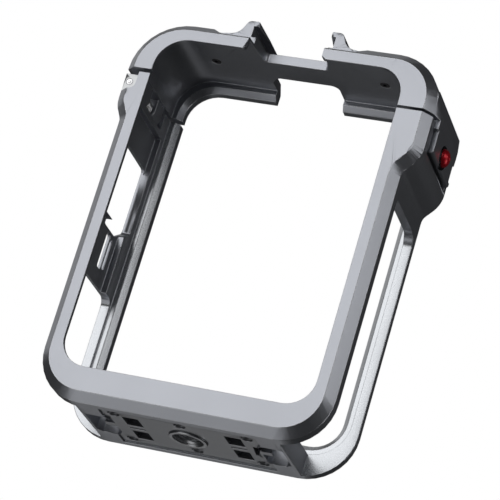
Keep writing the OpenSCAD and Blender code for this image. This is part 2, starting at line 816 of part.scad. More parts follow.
module keeper_plate() color(dark_steel) difference() {
    span([keeper_x0, -keeper_half, ledge_z - keeper_t], [keeper_x1, keeper_half, ledge_z]);
    for (y = [-nose_y, nose_y])
        span([ear_in_x, y - nose_slot, ledge_z - past],
             [nose_x + latch_plate_t + 0.5, y + nose_slot, ledge_z + past]);
    for (y = [-keeper_screw_y, keeper_screw_y])
        translate([keeper_screw_x, y, ledge_z - keeper_t - 0.01])
            cylinder(r1 = screw_r + run, r2 = screw_head_r + run, h = keeper_t + 0.02);
}

module keeper_screws() color(metal)
    for (y = [-keeper_screw_y, keeper_screw_y])
        translate([keeper_screw_x, y, ledge_z - keeper_t]) {
            cylinder(r1 = screw_r, r2 = screw_head_r, h = keeper_t);
            translate([0, 0, -2]) cylinder(r = screw_r, h = 2.1);
        }

// ---------- base ----------

// The outline of the base plate, with a tongue at each end, grown by g
module base_outline(g) {
    w = base_half_w + g;
    d = base_half_d + g;
    notch_x = end_window_x0 + g;
    notch_y = 4.2;
    shoulder_y = 5.4;
    tongue_x = end_window_x0 + 2.4 + g;
    tongue_y = 0.9 + g;
    half = [[w, -d], [w, -shoulder_y], [notch_x, -notch_y], [notch_x, -tongue_y],
            [tongue_x, -tongue_y], [tongue_x, tongue_y],
            [notch_x, tongue_y], [notch_x, notch_y], [w, shoulder_y], [w, d]];
    polygon(concat(half, [for (i = [len(half) - 1 : -1 : 0]) [-half[i][0], half[i][1]]]));
}

module base_plate() color(dark_steel) difference() {
    translate([0, 0, base_recess]) linear_extrude(height = base_t) base_outline(0);
    translate([0, 0, -past]) cylinder(r = insert_r + seat, h = floor_t);
    claw_cut(floor_t);
    at_base_screws() {
        cylinder(r = base_screw_r + 0.07, h = floor_t);
        cylinder(r = base_head_r + 0.1, h = base_head_z + base_head_h);
    }
    translate([0, 0, -past]) linear_extrude(height = floor_t)
        polygon([[14.7, 2.3], [15.4, 2.4], [16.9, -2.6], [15.3, -2.9]]);
}

module base_screws() color(metal) at_base_screws() {
    translate([0, 0, base_head_z]) difference() {
        cylinder(r = base_head_r, h = base_head_h);
        translate([0, 0, -past]) cylinder(r = base_head_r / 2, h = past + 0.5, $fn = 6);
    }
    translate([0, 0, base_head_z + base_head_h - 0.1])
        cylinder(r = base_screw_r, h = floor_z - floor_skin - base_head_z - base_head_h - 0.2);
}

module tripod_insert() color(metal) difference() {
    union() {
        cylinder(r = insert_r, h = floor_z - 0.1);
        translate([0, 0, floor_z - insert_rim_h])
            cylinder(r = insert_r + insert_rim, h = insert_rim_h - 0.1);
    }
    translate([0, 0, -past]) cylinder(r = tripod_r, h = floor_t + 2 * past);
}

// ---------- pads and the screws in the ceiling ----------

module ceiling_screws() color(dark_steel)
    for (x = [-ceiling_screw_x, ceiling_screw_x])
        translate([x, 0, ceiling_z]) {
            cylinder(r1 = 1.15, r2 = ceiling_screw_r, h = 0.58);
            cylinder(r = ceiling_screw_r, h = 1.6);
        }

// A pad on either side of the bridge, from a given height down to the bay, grown by g
module ceiling_pad_shapes(g, top) {
    length = 10;
    middle_x = 18;
    y0 = bay_front_y + 1 - g;
    x0 = middle_x - length / 2 - g;
    for (side = [0, 1]) mirror([side, 0, 0])
        span([x0, y0, ceiling_z - pad_proud],
             [x0 + length + 2 * g, y0 + 2 * (pad_half_w + g), top]);
}

module ceiling_pads() color(rubber) ceiling_pad_shapes(0, ceiling_z + pad_t - pad_proud);

// The pads on the floor, clear of the sockets and of the tripod insert, grown by g
module floor_pad_shape(g, bottom) {
    half_l = 15;
    half_w = 1.4;
    for (y = [-9.6, 9])
        span([-half_l - g, y - half_w - g, bottom], [half_l + g, y + half_w + g, floor_z + pad_proud]);
}

module floor_pad() color(rubber) floor_pad_shape(0, floor_z - pad_t + pad_proud);

// The pad on the latch post, grown by g, out to a given X
module side_pad_shape(g, x1) {
    half_d = 7;
    end_gap = 3;
    span([wall_x - pad_proud, -half_d - g, latch_side_top + end_gap - g],
         [x1, half_d + g, latch_post_z - end_gap + g]);
}

module side_pad() color(rubber) side_pad_shape(0, wall_x + pad_t - pad_proud);

cage_frame();
top_bar();
hinge_pin();
hinge_bushes();
hinge_spring();
release_button();
button_bezel();
button_spring();
latch_plate();
latch_cover();
latch_cover_screws();
keeper_plate();
keeper_screws();
base_plate();
base_screws();
tripod_insert();
ceiling_screws();
ceiling_pads();
floor_pad();
side_pad();
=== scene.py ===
"""Dresses a camera cage: a machined ring with a hinged top bar, a push latch and a tripod base.

Every size is in millimetres until a mesh is made, and Blender works in metres.
"""

import enum
import itertools
import json
import logging
import math
from dataclasses import dataclass, field
from typing import Any, Iterable, Sequence

import bmesh
import bpy
from mathutils import Matrix, Vector

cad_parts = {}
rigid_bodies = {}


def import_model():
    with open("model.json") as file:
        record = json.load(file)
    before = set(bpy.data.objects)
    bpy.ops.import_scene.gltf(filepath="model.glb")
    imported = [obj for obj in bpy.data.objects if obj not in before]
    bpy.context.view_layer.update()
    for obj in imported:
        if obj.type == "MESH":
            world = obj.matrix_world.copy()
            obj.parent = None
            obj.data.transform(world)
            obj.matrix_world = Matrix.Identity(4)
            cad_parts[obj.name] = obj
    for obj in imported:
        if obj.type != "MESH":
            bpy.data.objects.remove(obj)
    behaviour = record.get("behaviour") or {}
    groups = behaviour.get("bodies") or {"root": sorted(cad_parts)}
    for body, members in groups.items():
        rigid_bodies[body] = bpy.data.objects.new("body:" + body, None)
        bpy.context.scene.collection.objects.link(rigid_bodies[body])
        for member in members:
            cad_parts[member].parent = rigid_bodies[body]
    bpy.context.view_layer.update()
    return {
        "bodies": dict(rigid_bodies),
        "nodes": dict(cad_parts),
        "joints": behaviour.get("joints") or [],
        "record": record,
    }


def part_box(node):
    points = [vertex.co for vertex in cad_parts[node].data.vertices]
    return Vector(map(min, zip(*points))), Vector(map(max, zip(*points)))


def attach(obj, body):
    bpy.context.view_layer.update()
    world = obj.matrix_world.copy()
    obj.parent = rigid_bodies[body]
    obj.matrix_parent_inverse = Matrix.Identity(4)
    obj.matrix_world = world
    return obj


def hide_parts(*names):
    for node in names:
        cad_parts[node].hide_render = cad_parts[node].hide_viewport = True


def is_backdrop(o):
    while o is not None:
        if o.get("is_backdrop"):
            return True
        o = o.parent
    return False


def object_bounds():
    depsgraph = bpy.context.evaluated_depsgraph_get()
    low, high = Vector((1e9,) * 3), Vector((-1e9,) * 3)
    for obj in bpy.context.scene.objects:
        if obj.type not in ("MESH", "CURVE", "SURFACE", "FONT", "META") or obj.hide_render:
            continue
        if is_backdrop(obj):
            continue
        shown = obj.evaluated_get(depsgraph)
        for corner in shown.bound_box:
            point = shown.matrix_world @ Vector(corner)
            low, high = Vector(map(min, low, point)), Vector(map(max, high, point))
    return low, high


MM = 0.001
# Places closer than this are the same place
SAME = 1e-6
# The faces in one turn of a round piece that shows
FINE = 96
Colour = tuple[float, float, float]
Point = tuple[float, float, float]
log = logging.getLogger("camera_cage")


# ---------- node trees as Python expressions ----------


class Expr:
    """A socket of a node tree, with the operators that add Math nodes."""

    def __init__(self, graph: "Graph", socket: bpy.types.NodeSocket) -> None:
        """Wraps a socket.

        Args:
            graph: The graph that the socket's node is in.
            socket: An output socket.
        """
        self.graph = graph
        self.socket = socket

    def _math(self, operation: str, *values: Any, clamp: bool = False) -> "Expr":
        """Adds one Math node and returns its result."""
        settings = {"operation": operation, "use_clamp": clamp}
        return self.graph.node("ShaderNodeMath", settings, dict(enumerate(values)))

    def __add__(self, other: Any) -> "Expr":
        """Returns self + other."""
        return self._math("ADD", self, other)

    __radd__ = __add__

    def __sub__(self, other: Any) -> "Expr":
        """Returns self - other."""
        return self._math("SUBTRACT", self, other)

    def __rsub__(self, other: Any) -> "Expr":
        """Returns other - self."""
        return self._math("SUBTRACT", other, self)

    def __mul__(self, other: Any) -> "Expr":
        """Returns self * other."""
        return self._math("MULTIPLY", self, other)

    __rmul__ = __mul__

    def __truediv__(self, other: Any) -> "Expr":
        """Returns self / other."""
        return self._math("DIVIDE", self, other)

    def __rtruediv__(self, other: Any) -> "Expr":
        """Returns other / self."""
        return self._math("DIVIDE", other, self)

    def __pow__(self, other: Any) -> "Expr":
        """Returns self ** other."""
        return self._math("POWER", self, other)

    def __mod__(self, other: Any) -> "Expr":
        """Returns self modulo other, never below zero."""
        return self._math("FLOORED_MODULO", self, other)

    def __neg__(self) -> "Expr":
        """Returns -self."""
        return self._math("MULTIPLY", self, -1.0)

    def __gt__(self, other: Any) -> "Expr":
        """Returns 1 where self is greater than other, else 0."""
        return self._math("GREATER_THAN", self, other)

    def __lt__(self, other: Any) -> "Expr":
        """Returns 1 where self is less than other, else 0."""
        return self._math("LESS_THAN", self, other)

    def sin(self) -> "Expr":
        """Returns the sine."""
        return self._math("SINE", self)

    def cos(self) -> "Expr":
        """Returns the cosine."""
        return self._math("COSINE", self)

    def root(self) -> "Expr":
        """Returns the square root."""
        return self._math("SQRT", self)

    def size(self) -> "Expr":
        """Returns the absolute value."""
        return self._math("ABSOLUTE", self)

    def whole(self) -> "Expr":
        """Returns the value rounded down."""
        return self._math("FLOOR", self)

    def least(self, other: Any) -> "Expr":
        """Returns the smaller of self and other."""
        return self._math("MINIMUM", self, other)

    def most(self, other: Any) -> "Expr":
        """Returns the larger of self and other."""
        return self._math("MAXIMUM", self, other)

    def clamped(self) -> "Expr":
        """Returns the value held between 0 and 1."""
        return self._math("ADD", self, 0.0, clamp=True)

    def also(self, output: int | str) -> "Expr":
        """Returns another output of the same node, by its number or name."""
        return Expr(self.graph, self.socket.node.outputs[output])

    def angle_of(self, x: "Expr") -> "Expr":
        """Returns the angle of the point (x, self)."""
        return self._math("ARCTAN2", self, x)

    def fade(self, start: float, end: float) -> "Expr":
        """Returns a smooth step.

        Args:
            start: Where the result is 0.
            end: Where the result is 1. It may be below start.

        Returns:
            0 to 1, smooth at both ends.
        """
        low, high = sorted((start, end))
        falls = float(start > end)
        inputs = {"Value": self, "From Min": low, "From Max": high, "To Min": falls, "To Max": 1 - falls}
        return self.graph.node("ShaderNodeMapRange", {"interpolation_type": "SMOOTHSTEP"}, inputs)


class Graph:
    """A shader or geometry node tree that is written as Python expressions."""

    def __init__(self, tree: bpy.types.NodeTree) -> None:
        """Wraps an empty tree."""
        self.tree = tree

    def node(
        self,
        kind: str,
        settings: dict[str, Any] | None = None,
        inputs: dict[Any, Any] | None = None,
        output: int | str = 0,
    ) -> Expr:
        """Adds a node.

        Args:
            kind: Its type.
            settings: Its properties, which are set first. "stops" gives a ramp's stops.
            inputs: A value or a link for each named or numbered socket.
            output: The name or number of the socket that is returned.

        Returns:
            One of its outputs.
        """
        node = self.tree.nodes.new(kind)
        for key, value in (settings or {}).items():
            if key == "stops":
                self._stops(node.color_ramp, value)
            else:
                setattr(node, key, value)
        for key, value in (inputs or {}).items():
            self.feed(self._socket(node.inputs, key), value)
        return Expr(self, self._socket(node.outputs, output)) if node.outputs else None

    @staticmethod
    def _socket(sockets: Any, key: int | str) -> bpy.types.NodeSocket:
        """Returns the enabled socket of that number or name."""
        if isinstance(key, int):
            return sockets[key]
        return next((s for s in sockets if s.name == key and s.enabled), None) or sockets[key]

    @staticmethod
    def _stops(ramp: bpy.types.ColorRamp, stops: Sequence[tuple[float, Colour]]) -> None:
        """Sets the stops of a colour ramp."""
        while len(ramp.elements) < len(stops):
            ramp.elements.new(1.0)
        for element, (position, colour) in zip(ramp.elements, stops):
            element.position = position
            element.color = (*colour, 1.0)

    def feed(self, socket: bpy.types.NodeSocket, value: Any) -> None:
        """Gives an input socket a value or a link."""
        if isinstance(value, Expr):
            self.tree.links.new(value.socket, socket)
        elif isinstance(value, tuple) and socket.type == "RGBA" and len(value) == 3:
            socket.default_value = (*value, 1.0)
        else:
            socket.default_value = value

    def mix(self, factor: Any, first: Any, second: Any) -> Expr:
        """Returns a mix of two colours.

        Args:
            factor: How much of the second, from 0 to 1.
            first: A colour or a link.
            second: A colour or a link.

        Returns:
            The mixed colour.
        """
        return self.node("ShaderNodeMix", {"data_type": "RGBA"}, {0: factor, 6: first, 7: second}, 2)

    def place(self) -> Expr:
        """Returns the point on the piece, in metres, in the piece's own frame."""
        return self.node("ShaderNodeTexCoord", output="Object")

    def parts(self, vector: Expr) -> tuple[Expr, Expr, Expr]:
        """Returns the three numbers of a vector."""
        first = self.node("ShaderNodeSeparateXYZ", None, {0: vector})
        return first, first.also(1), first.also(2)

    def join(self, x: Any, y: Any, z: Any) -> Expr:
        """Returns the vector of three numbers."""
        return self.node("ShaderNodeCombineXYZ", None, {0: x, 1: y, 2: z})

    def noise(self, at: Expr, period: float, detail: float = 2.0, roughness: float = 0.5) -> Expr:
        """Returns smooth noise.

        Args:
            at: Where it is read, in metres.
            period: The size of its grains, in mm.
            detail: Its octaves.
            roughness: How strong the fine octaves are.

        Returns:
            A number near 0.5, from 0 to 1.
        """
        inputs = {"Vector": at, "Scale": 1 / (period * MM), "Detail": detail, "Roughness": roughness}
        return self.node("ShaderNodeTexNoise", None, inputs)


# ---------- finishes ----------


@dataclass(frozen=True)
class Finish:
    """A surface finish, as its settings for one shader."""

    name: str
    colour: Colour
    roughness: float = 0.4
    metallic: float = 1.0
    specular: float = 0.5

    def material(self) -> bpy.types.Material:
        """Builds the finish.

        Returns:
            A material, the same one each time it is asked for.
        """
        own = f"{self.name}_finish"
        made = bpy.data.materials.get(own)
        if made:
            return made
        made = bpy.data.materials.new(own)
        made.use_nodes = True
        made.node_tree.nodes.clear()
        made.diffuse_color = (*self.colour, 1.0)
        graph = Graph(made.node_tree)
        shader = self.shader(graph)
        graph.node("ShaderNodeOutputMaterial", None, {"Surface": shader})
        return made

    def shader(self, graph: Graph) -> Expr:
        """Returns the shader that this finish ends in."""
        inputs = {
            "Base Color": self.colour,
            "Roughness": self.roughness,
            "Metallic": self.metallic,
            "Specular IOR Level": self.specular,
            **self.surface(graph),
        }
        return graph.node("ShaderNodeBsdfPrincipled", None, inputs)

    def surface(self, graph: Graph) -> dict[str, Any]:
        """Returns the shader inputs that change over the surface."""
        return {}

    @staticmethod
    def bump(graph: Graph, height: Expr, depth: float, strength: float = 1.0) -> Expr:
        """Returns a normal.

        Args:
            graph: The graph.
            height: A height from 0 to 1.
            depth: What 1 stands for, in mm.
            strength: How much of the bump shows.

        Returns:
            The bumped normal.
        """
        inputs = {"Height": height, "Distance": depth * MM, "Strength": strength}
        return graph.node("ShaderNodeBump", None, inputs)


@dataclass(frozen=True)
class Blasted(Finish):
    """Bead-blasted and anodised aluminium: a fine even grain under a satin film."""

    grain: float = 0.16
    grain_depth: float = 0.004
    cloud: float = 0.05

    def surface(self, graph: Graph) -> dict[str, Any]:
        """Adds the blasted grain and slow changes of tone."""
        at = graph.place()
        grain = graph.noise(at, self.grain, 3.0, 0.6)
        cloud = graph.noise(at, 14.0, 2.0)
        tone = (grain - 0.5) * 0.10 + (cloud - 0.5) * self.cloud * 2 + 0.5
        dark = tuple(c * 0.90 for c in self.colour)
        light = tuple(min(1.0, c * 1.10) for c in self.colour)
        return {
            "Base Color": graph.mix(tone.clamped(), dark, light),
            "Roughness": (grain - 0.5) * 0.16 + (cloud - 0.5) * 0.08 + self.roughness,
            "Normal": self.bump(graph, grain, self.grain_depth),
        }


@dataclass(frozen=True)
class Spotfaced(Blasted):
    """Anodised aluminium with bare metal on the flats that are milled round the ends of a pin."""

    centre: Point = (0.0, 0.0, 0.0)
    reach: float = 1.7
    plane: float = 11.6
    bare: Colour = (0.63, 0.64, 0.65)

    def surface(self, graph: Graph) -> dict[str, Any]:
        """Adds the bare flats, with the arcs that the cutter leaves."""
        inputs = super().surface(graph)
        x, y, z = graph.parts(graph.place())
        dx = x / MM - self.centre[0]
        dz = z / MM - self.centre[2]
        depth = (y.size() / MM - self.plane).size()
        near = dx.fade(self.reach + 0.1, self.reach) * (-dz).fade(self.reach + 0.1, self.reach)
        mask = near * dz.fade(self.reach + 0.6, self.reach + 0.5) * depth.fade(0.08, 0.03)
        away = (dx * dx + dz * dz).root()
        arcs = (away * (2 * math.pi / 0.22)).sin() * 0.5 + 0.5
        inputs["Base Color"] = graph.mix(mask, inputs["Base Color"], self.bare)
        inputs["Roughness"] = inputs["Roughness"] * (1 - mask) + mask * (arcs * 0.08 + 0.30)
        return inputs


@dataclass(frozen=True)
class Brushed(Finish):
    """Brushed steel, with fine lines along one axis."""

    along: int = 0
    line: float = 0.05
    depth: float = 0.002

    def surface(self, graph: Graph) -> dict[str, Any]:
        """Adds the brushed lines."""
        parts = graph.parts(graph.place())
        at = graph.join(*(p * (0.02 if axis == self.along else 1.0) for axis, p in enumerate(parts)))
        lines = graph.noise(at, self.line, 3.0, 0.65)
        dark = tuple(c * 0.84 for c in self.colour)
        return {
            "Base Color": graph.mix(lines, dark, self.colour),
            "Roughness": (lines - 0.5) * 0.30 + self.roughness,
            "Normal": self.bump(graph, lines, self.depth),
        }


@dataclass(frozen=True)
class Turned(Finish):
    """Steel that was turned on a lathe, with fine rings about an axis."""

    centre: Point = (0.0, 0.0, 0.0)
    axis: int = 1
    ring: float = 0.12
    depth: float = 0.0015

    def surface(self, graph: Graph) -> dict[str, Any]:
        """Adds the turned rings."""
        at = graph.place()
        parts = graph.parts(at)
        across = [p - self.centre[i] * MM for i, p in enumerate(parts) if i != self.axis]
        away = (across[0] * across[0] + across[1] * across[1]).root() / MM
        wobble = graph.noise(at, 0.5, 1.0)
        rings = ((away * (2 * math.pi / self.ring)) + wobble * 2.0).sin() * 0.5 + 0.5
        stain = graph.noise(at, 1.6, 2.0)
        dark = tuple(c * 0.86 for c in self.colour)
        return {
            "Base Color": graph.mix(stain, dark, self.colour),
            "Roughness": rings * 0.06 + (stain - 0.5) * 0.10 + self.roughness,
            "Normal": self.bump(graph, rings, self.depth),
        }


@dataclass(frozen=True)
class Lacquered(Finish):
    """A clear glossy coat over dyed metal."""

    coat: float = 0.6

    def shader(self, graph: Graph) -> Expr:
        """Returns the shader with its clear coat."""
        made = super().shader(graph)
        node = made.socket.node
        node.inputs["Coat Weight"].default_value = self.coat
        node.inputs["Coat Roughness"].default_value = 0.06
        return made

    def surface(self, graph: Graph) -> dict[str, Any]:
        """Adds a faint unevenness under the coat."""
        at = graph.place()
        cloud = graph.noise(at, 0.9, 2.0)
        dark = tuple(c * 0.80 for c in self.colour)
        return {
            "Base Color": graph.mix(cloud, dark, self.colour),
            "Roughness": (cloud - 0.5) * 0.10 + self.roughness,
            "Normal": self.bump(graph, cloud, 0.004),
        }


@dataclass(frozen=True)
class Moulded(Finish):
    """Moulded silicone, matt, with a fine texture and a little dust."""

    grain: float = 0.12

    def surface(self, graph: Graph) -> dict[str, Any]:
        """Adds the moulded texture."""
        at = graph.place()
        grain = graph.noise(at, self.grain, 2.0)
        dust = graph.noise(at, 2.4, 4.0, 0.7).fade(0.55, 0.8)
        pale = tuple(c * 1.7 + 0.01 for c in self.colour)
        return {
            "Base Color": graph.mix(dust * 0.6, self.colour, pale),
            "Roughness": (grain - 0.5) * 0.2 + self.roughness,
            "Normal": self.bump(graph, grain, 0.01),
        }


# ---------- meshes ----------


class Axis(enum.Enum):
    """Which way a turned piece or a row of fasteners faces."""

    UP = (0.0, 0.0, 1.0)
    DOWN = (0.0, 0.0, -1.0)
    LEFT = (-1.0, 0.0, 0.0)
    RIGHT = (1.0, 0.0, 0.0)
    BACK = (0.0, 1.0, 0.0)

    def turn(self) -> Matrix:
        """Returns the rotation that takes +Z to this direction."""
        return Vector(self.value).to_track_quat("Z", "Y").to_matrix().to_4x4()


class Recess(enum.Enum):
    """The shape of the recess in the head of a fastener, as its share of a star with round lobes."""

    HEX = 0.0
    STAR = 1.0


def middle(node: str) -> Point:
    """Returns the middle of a CAD node's box, in mm."""
    low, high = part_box(node)
    return tuple((a + b) / 2 / MM for a, b in zip(low, high))


def add_object(name: str, mesh: bpy.types.Mesh) -> bpy.types.Object:
    """Puts a mesh in the scene as an object at the origin."""
    made = bpy.data.objects.new(name, mesh)
    bpy.context.scene.collection.objects.link(made)
    return made


def smooth(mesh: bpy.types.Mesh, limit: float = 35.0) -> None:
    """Shades a mesh smooth, with sharp edges where faces meet at more than limit degrees."""
    mesh.polygons.foreach_set("use_smooth", [True] * len(mesh.polygons))
    mesh.set_sharp_from_angle(angle=math.radians(limit))
    mesh.update()


def bake(made: bpy.types.Object) -> bpy.types.Object:
    """Turns an object's modifiers into a plain mesh.

    Args:
        made: The object.

    Returns:
        The same object, without modifiers.
    """
    bpy.context.view_layer.update()
    shown = made.evaluated_get(bpy.context.evaluated_depsgraph_get())
    mesh = bpy.data.meshes.new_from_object(shown)
    made.modifiers.clear()
    made.data = mesh
    mesh.name = made.name
    return made


def lathe(
    name: str,
    profile: Sequence[tuple[float, float]],
    centre: Point,
    axis: Axis,
    steps: int = 64,
    limit: float = 35.0,
) -> bpy.types.Object:
    """Turns a closed piece round an axis.

    Args:
        name: The name of the piece.
        profile: Its outline as (radius, height), in mm. It starts and ends on the axis, or it is closed.
        centre: Where height 0 is, in mm.
        axis: The way that height grows.
        steps: The faces in one turn.
        limit: Edges sharper than this stay sharp, in degrees.

    Returns:
        The piece.
    """
    mesh = bpy.data.meshes.new(name)
    shape = bmesh.new()
    closed = profile[0][0] > 0
    rings = []
    for radius, height in profile:
        if radius < SAME:
            rings.append([shape.verts.new((0.0, 0.0, height * MM))])
            continue
        angles = [2 * math.pi * k / steps for k in range(steps)]
        places = [(radius * MM * math.cos(a), radius * MM * math.sin(a), height * MM) for a in angles]
        rings.append([shape.verts.new(place) for place in places])
    following = rings[1:] + (rings[:1] if closed else [])
    for low, high in zip(rings, following):
        for k in range(steps):
            n = (k + 1) % steps
            corners = [low[k % len(low)], low[n % len(low)], high[n % len(high)], high[k % len(high)]]
            unique = list(dict.fromkeys(corners))
            if len(unique) > 2:
                shape.faces.new(unique)
    bmesh.ops.recalc_face_normals(shape, faces=shape.faces)
    shape.transform(Matrix.Translation(Vector(centre) * MM) @ axis.turn())
    shape.to_mesh(mesh)
    shape.free()
    smooth(mesh, limit)
    return add_object(name, mesh)


@dataclass
class WeldedCopy:
    """A copy of a CAD node with its loose triangles welded into whole faces and its edges broken.

    Attributes:
        node: The CAD node.
        name: The name of the copy.
        edge: How wide its edges are broken, in mm.
        sharp: Edges sharper than this are broken, in degrees.
        segments: The faces across a broken edge.
        shortest: Edges shorter than this stay crisp, in mm.
        finest: Places closer than this are welded, in mm.
        least_share: The least share of the full width that an edge is broken by.
        run_on: Edges that turn by less than this run on into each other, in radians.
        passes: How often the widths are evened out.
        lean: A neighbour leans away from an edge where its share across it is more than this.
        taken: The share of the way to a neighbour's end that a broken edge may take.
        flat_weight: How much large faces count in the shading, in percent.
    """

    node: str
    name: str
    edge: float = 0.1
    sharp: float = 28.0
    segments: int = 2
    shortest: float = 0.12
    finest: float = 0.02
    least_share: float = 0.12
    run_on: float = 0.8
    passes: int = 12
    lean: float = 0.3
    taken: float = 0.45
    flat_weight: int = 60

    def build(self, parts: Sequence[Finish]) -> bpy.types.Object:
        """Makes the copy.

        Args:
            parts: The finish of the faces, and the finish of the broken edges if it differs.

        Returns:
            The piece, with its edges broken by a small bevel.
        """
        source = bpy.data.objects[self.node]
        shape = bmesh.new()
        shape.from_mesh(source.data)
        bmesh.ops.remove_doubles(shape, verts=shape.verts, dist=self.finest * MM)
        bmesh.ops.dissolve_degenerate(shape, edges=shape.edges, dist=self.finest * MM)
        self.reshape(shape)
        self.unite(shape)
        weights = shape.edges.layers.float.new("bevel_weight_edge")
        for edge in shape.edges:
            edge.smooth = True
        for edge, width in self.widths(shape).items():
            edge.smooth = width > 0.0
            edge[weights] = width / (self.edge * MM)
        mesh = bpy.data.meshes.new(self.name)
        shape.to_mesh(mesh)
        shape.free()
        for layer in ("custom_normal", "sharp_face"):
            if layer in mesh.attributes:
                mesh.attributes.remove(mesh.attributes[layer])
        mesh.materials.clear()
        for part in parts:
            mesh.materials.append(part.material())
        mesh.polygons.foreach_set("use_smooth", [True] * len(mesh.polygons))
        chosen = [min(self.finish_of(f.center / MM, f.normal), len(parts) - 1) for f in mesh.polygons]
        mesh.polygons.foreach_set("material_index", chosen)
        made = add_object(self.name, mesh)
        bevel = made.modifiers.new("broken edges", "BEVEL")
        bevel.width = self.edge * MM
        bevel.segments = self.segments
        bevel.limit_method = "WEIGHT"
        bevel.use_clamp_overlap = False
        bevel.material = len(parts) - 1
        bevel.miter_outer = "MITER_ARC"
        weighted = made.modifiers.new("flat faces", "WEIGHTED_NORMAL")
        weighted.mode = "FACE_AREA"
        weighted.weight = self.flat_weight
        weighted.keep_sharp = True
        bake(made)
        log.info("%s: %d faces", self.name, len(made.data.polygons))
        return made

    def reshape(self, shape: bmesh.types.BMesh) -> None:
        """Changes the welded mesh before its edges are broken. A plain copy is left as it is."""

    def finish_of(self, place: Vector, normal: Vector) -> int:
        """Returns which finish the face at a place, in mm, gets."""
        return 0

    def widths(self, shape: bmesh.types.BMesh) -> dict[bmesh.types.BMEdge, float]:
        """Chooses how wide each sharp edge is broken.

        Edges that run on into each other may differ only a little, as their offsets would meet far off.

        Args:
            shape: The welded mesh.

        Returns:
            A width in metres for each sharp edge, 0 where it stays crisp.
        """
        limit = math.radians(self.sharp)
        sharp = [e for e in shape.edges if len(e.link_faces) == 2 and e.calc_face_angle(0.0) > limit]
        found = {e: self.room(e) for e in sharp if e.calc_length() > self.shortest * MM}
        found = {e: w for e, w in found.items() if w > self.least_share * self.edge * MM}
        pairs = []
        # A dict keeps its order from run to run, which a set of mesh elements doesn't
        for vert in dict.fromkeys(v for e in found for v in e.verts):
            met = [e for e in vert.link_edges if e in found]
            for one, two in itertools.combinations(met, 2):
                ways = [(e.other_vert(vert).co - vert.co).normalized() for e in (one, two)]
                turn = math.pi - ways[0].angle(ways[1], 0.0)
                if turn < self.run_on:
                    step = 0.5 * min(one.calc_length(), two.calc_length()) * math.sin(turn)
                    pairs.append((one, two, step))
        for _ in range(self.passes):
            for one, two, step in pairs:
                low = min(found[one], found[two]) + step
                found[one], found[two] = min(found[one], low), min(found[two], low)
        return {e: found.get(e, 0.0) for e in sharp}

    def room(self, edge: bmesh.types.BMEdge) -> float:
        """Returns how wide an edge can be broken, in metres, before it passes a neighbour's end."""
        width = self.edge * MM
        for vert in edge.verts:
            along = (edge.other_vert(vert).co - vert.co).normalized()
            for other in vert.link_edges:
                if other is edge:
                    continue
                reach = other.other_vert(vert).co - vert.co
                across = (reach - along * reach.dot(along)).length
                if across > self.lean * reach.length:
                    width = min(width, self.taken * across)
                elif reach.dot(along) > 0.0 and other.calc_face_angle(0.0) > math.radians(self.sharp):
                    width = 0.0
        return width

    @staticmethod
    def unite(shape: bmesh.types.BMesh, most: int = 8, limit: float = 0.4) -> None:
        """Joins the triangles of each flat face that has a simple outline, and leaves the others.

        Args:
            shape: The welded mesh.
            most: The corners of the largest outline that is joined.
            limit: The angle between triangles of one flat face, in degrees.
        """
        flat = math.radians(limit)
        seen = set()
        areas = []
        for first in shape.faces:
            if first in seen:
                continue
            seen.add(first)
            todo = [first]
            area = [first]
            while todo:
                for edge in todo.pop().edges:
                    near = [f for f in edge.link_faces if f not in seen]
                    found = [f for f in near if f.normal.angle(edge.link_faces[0].normal, 1.0) < flat]
                    found = [f for f in found if f.normal.angle(edge.link_faces[-1].normal, 1.0) < flat]
                    seen.update(found)
                    area.extend(found)
                    todo.extend(found)
            areas.append(area)
        for area in areas:
            own = set(area)
            rim = {e for f in area for e in f.edges if sum(o in own for o in e.link_faces) == 1}
            corners = {v for e in rim for v in e.verts}
            inner = {v for f in area for v in f.verts} - corners
            whole = not inner and len(rim) == len(corners) and len(area) == len(corners) - 2
            if 1 < len(area) and whole and len(corners) <= most:
                bmesh.ops.dissolve_faces(shape, faces=area, use_verts=False)


# ---------- grown pieces ----------


